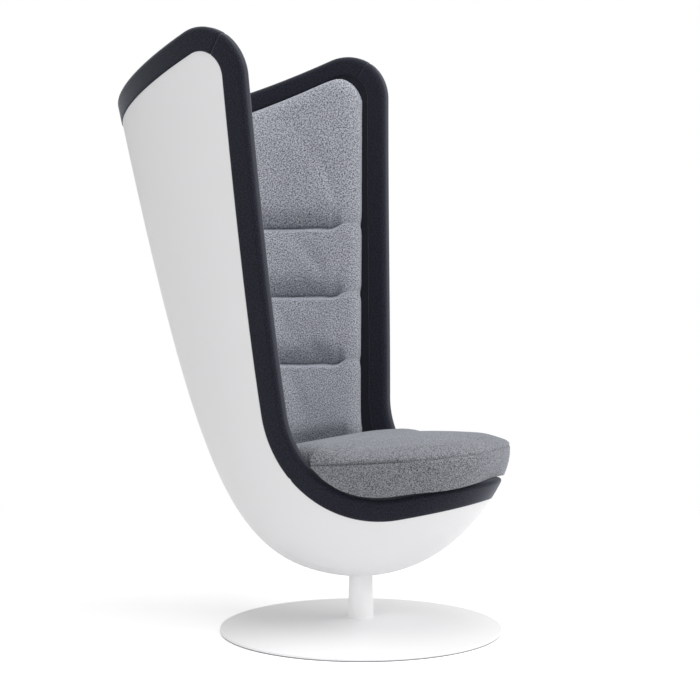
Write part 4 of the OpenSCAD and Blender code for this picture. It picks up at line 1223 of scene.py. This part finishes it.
def make_back_pad():
    """The quilted back pad, thinned at its edges and folded at each channel."""
    u = np.sin(np.linspace(-math.pi / 2, math.pi / 2, PAD_COLUMNS))
    face_d, back_d = even(PAD_FACE_D, u), even(PAD_BACK_D, u)
    middle = np.zeros(1)
    middle_rows = [float(z[0]) for z in pad_heights(middle, middle, face_d[:1])]
    rings = []
    for index, z_mid in enumerate(middle_rows):
        draw = sum(math.exp(-(((z_mid - c) / SIDE_DRAW_H) ** 2)) for c in CHANNELS)
        side_angle = float(pad_side_angle(min(z_mid, RIM_BACK_Z))) * (1 - SIDE_DRAW_SHARE * draw)
        a = u * side_angle
        z = pad_heights(u, a, face_d)[index]
        edge = np.minimum(pad_top_z(a) - z, z - pad_low_z(a, face_d)) / PAD_T
        side = np.sqrt(np.maximum(0, 1 - np.abs(u) ** SIDE_POWER))
        ends = np.sqrt(np.maximum(0, 1 - (1 - np.clip(edge, 0, 1)) ** END_POWER))
        thick = PAD_EDGE_T + (PAD_T - PAD_EDGE_T) * side * ends
        half_w = float(side_x(z_mid)) * math.sin(math.radians(side_angle))
        foot = FOOT_DEPTH * rounded((z - pad_low_z(a, face_d)) / CHANNEL_UP, ROLL_POWERS)
        deep = np.maximum(fold(u, z), foot * channel_fade(u))
        thick = thick - (deep - pad_gathers(u, z, half_w)) * side * ends
        d = PAD_BACK_D - thick
        front = skin(a, pad_heights(u, a, d)[index] + hang(u, z) * side * ends, d)
        back = skin(a, pad_heights(u, a, back_d)[index], back_d)
        rings.append(np.concatenate([front, back[::-1]]))
    pad = loft("back_pad_cover", np.stack(rings, 1), closed_u=True, cap_v=True)

    def hold(p):
        off = min(abs(p[2] - c) for c in CHANNELS)
        foot = min(p[2] - CUSHION_SEAM_Z - CUSHION_CROWN, RIM_BACK_Z - p[2])
        a = abs(float(place_angle(np.array(p)[None])[0])) / float(pad_side_angle(p[2]))
        side = (a - PAD_HELD_SIDE[0]) / PAD_HELD_SIDE[1]
        return float(min(1.0, max(1 - off / PAD_HELD_H, 1 - foot / PAD_HELD_ENDS, side, 0.0)))

    swell(pad, PAD_SWELL, hold)
    return dress(pad, pad_cloth_with_painted_light, "seat", "pad_fabric", "back_pad")


make_back_pad()

# Floor, light and world
FLOOR_SIZE = 30
FLOOR_GLOW = 0.36
FLOOR_NEAR = 0.9
FLOOR_FAR = 2.4
FLOOR_COLOUR = (0.86, 0.86, 0.86, 1)
WORLD_FILL = 0.54
WHITE = (1, 1, 1, 1)


# Lamps: name, place, aim, size and power
SOFTBOXES = (
    ("front_softbox", (0.9, -3.5, 2.9), (0, 0, 0.8), 2.4, 88),
    ("top_softbox", (-0.6, -0.6, 4.2), (0, 0.1, 0.4), 2.8, 74),
    ("side_softbox", (-4.2, -0.2, 1.7), (0, 0.1, 0.6), 2.4, 25),
)


def make_floor():
    """A white floor that keeps the object's shadow."""
    bm = bmesh.new()
    bmesh.ops.create_grid(bm, x_segments=1, y_segments=1, size=FLOOR_SIZE)
    mesh = bpy.data.meshes.new("floor")
    bm.to_mesh(mesh)
    bm.free()
    floor = bpy.data.objects.new("floor", mesh)
    bpy.context.scene.collection.objects.link(floor)
    material = bpy.data.materials.new("floor_white")
    material.use_nodes = True
    tree = material.node_tree
    tree.nodes.clear()
    output = tree.nodes.new("ShaderNodeOutputMaterial")
    diffuse = add_node(tree, "ShaderNodeBsdfDiffuse", Color=FLOOR_COLOUR)
    glow = add_node(tree, "ShaderNodeEmission", Strength=FLOOR_GLOW)
    white = add_node(tree, "ShaderNodeEmission", Strength=1.0)
    place = tree.nodes.new("ShaderNodeTexCoord")
    length = add_node(tree, "ShaderNodeVectorMath", operation="LENGTH")
    fade = add_node(tree, "ShaderNodeMapRange", interpolation_type="SMOOTHSTEP")
    fade.inputs["From Min"].default_value = FLOOR_NEAR
    fade.inputs["From Max"].default_value = FLOOR_FAR
    lit = tree.nodes.new("ShaderNodeAddShader")
    shown = tree.nodes.new("ShaderNodeMixShader")
    choose = tree.nodes.new("ShaderNodeMixShader")
    light = tree.nodes.new("ShaderNodeLightPath")
    seen = math_node(tree, "MAXIMUM", light.outputs["Is Camera Ray"], light.outputs["Is Glossy Ray"])
    tree.links.new(place.outputs["Object"], length.inputs[0])
    tree.links.new(length.outputs["Value"], fade.inputs["Value"])
    tree.links.new(diffuse.outputs[0], lit.inputs[0])
    tree.links.new(glow.outputs[0], lit.inputs[1])
    tree.links.new(fade.outputs[0], shown.inputs[0])
    tree.links.new(lit.outputs[0], shown.inputs[1])
    tree.links.new(white.outputs[0], shown.inputs[2])
    tree.links.new(seen, choose.inputs[0])
    tree.links.new(diffuse.outputs[0], choose.inputs[1])
    tree.links.new(shown.outputs[0], choose.inputs[2])
    tree.links.new(choose.outputs[0], output.inputs["Surface"])
    mesh.materials.append(material)


def make_world():
    """White behind everything that is seen, and a soft even light from all round."""
    world = bpy.data.worlds.new("studio")
    bpy.context.scene.world = world
    world.use_nodes = True
    tree = world.node_tree
    tree.nodes.clear()
    output = tree.nodes.new("ShaderNodeOutputWorld")
    fill = add_node(tree, "ShaderNodeBackground", Color=WHITE, Strength=WORLD_FILL)
    white = add_node(tree, "ShaderNodeBackground", Color=WHITE, Strength=1.0)
    choose = tree.nodes.new("ShaderNodeMixShader")
    light = tree.nodes.new("ShaderNodeLightPath")
    seen = math_node(tree, "MAXIMUM", light.outputs["Is Camera Ray"], light.outputs["Is Transmission Ray"])
    tree.links.new(seen, choose.inputs[0])
    tree.links.new(fill.outputs[0], choose.inputs[1])
    tree.links.new(white.outputs[0], choose.inputs[2])
    tree.links.new(choose.outputs[0], output.inputs["Surface"])


def add_softbox(name, place, aim, size, power):
    """A large square lamp at a place, turned to a point."""
    lamp = bpy.data.lights.new(name, "AREA")
    lamp.shape = "SQUARE"
    lamp.size = size
    lamp.energy = power
    holder = bpy.data.objects.new(name, lamp)
    holder.location = place
    holder.rotation_euler = (Vector(aim) - Vector(place)).to_track_quat("-Z", "Y").to_euler()
    bpy.context.scene.collection.objects.link(holder)


make_floor()
make_world()
for softbox in SOFTBOXES:
    add_softbox(*softbox)
bpy.context.scene.view_settings.view_transform = "Standard"
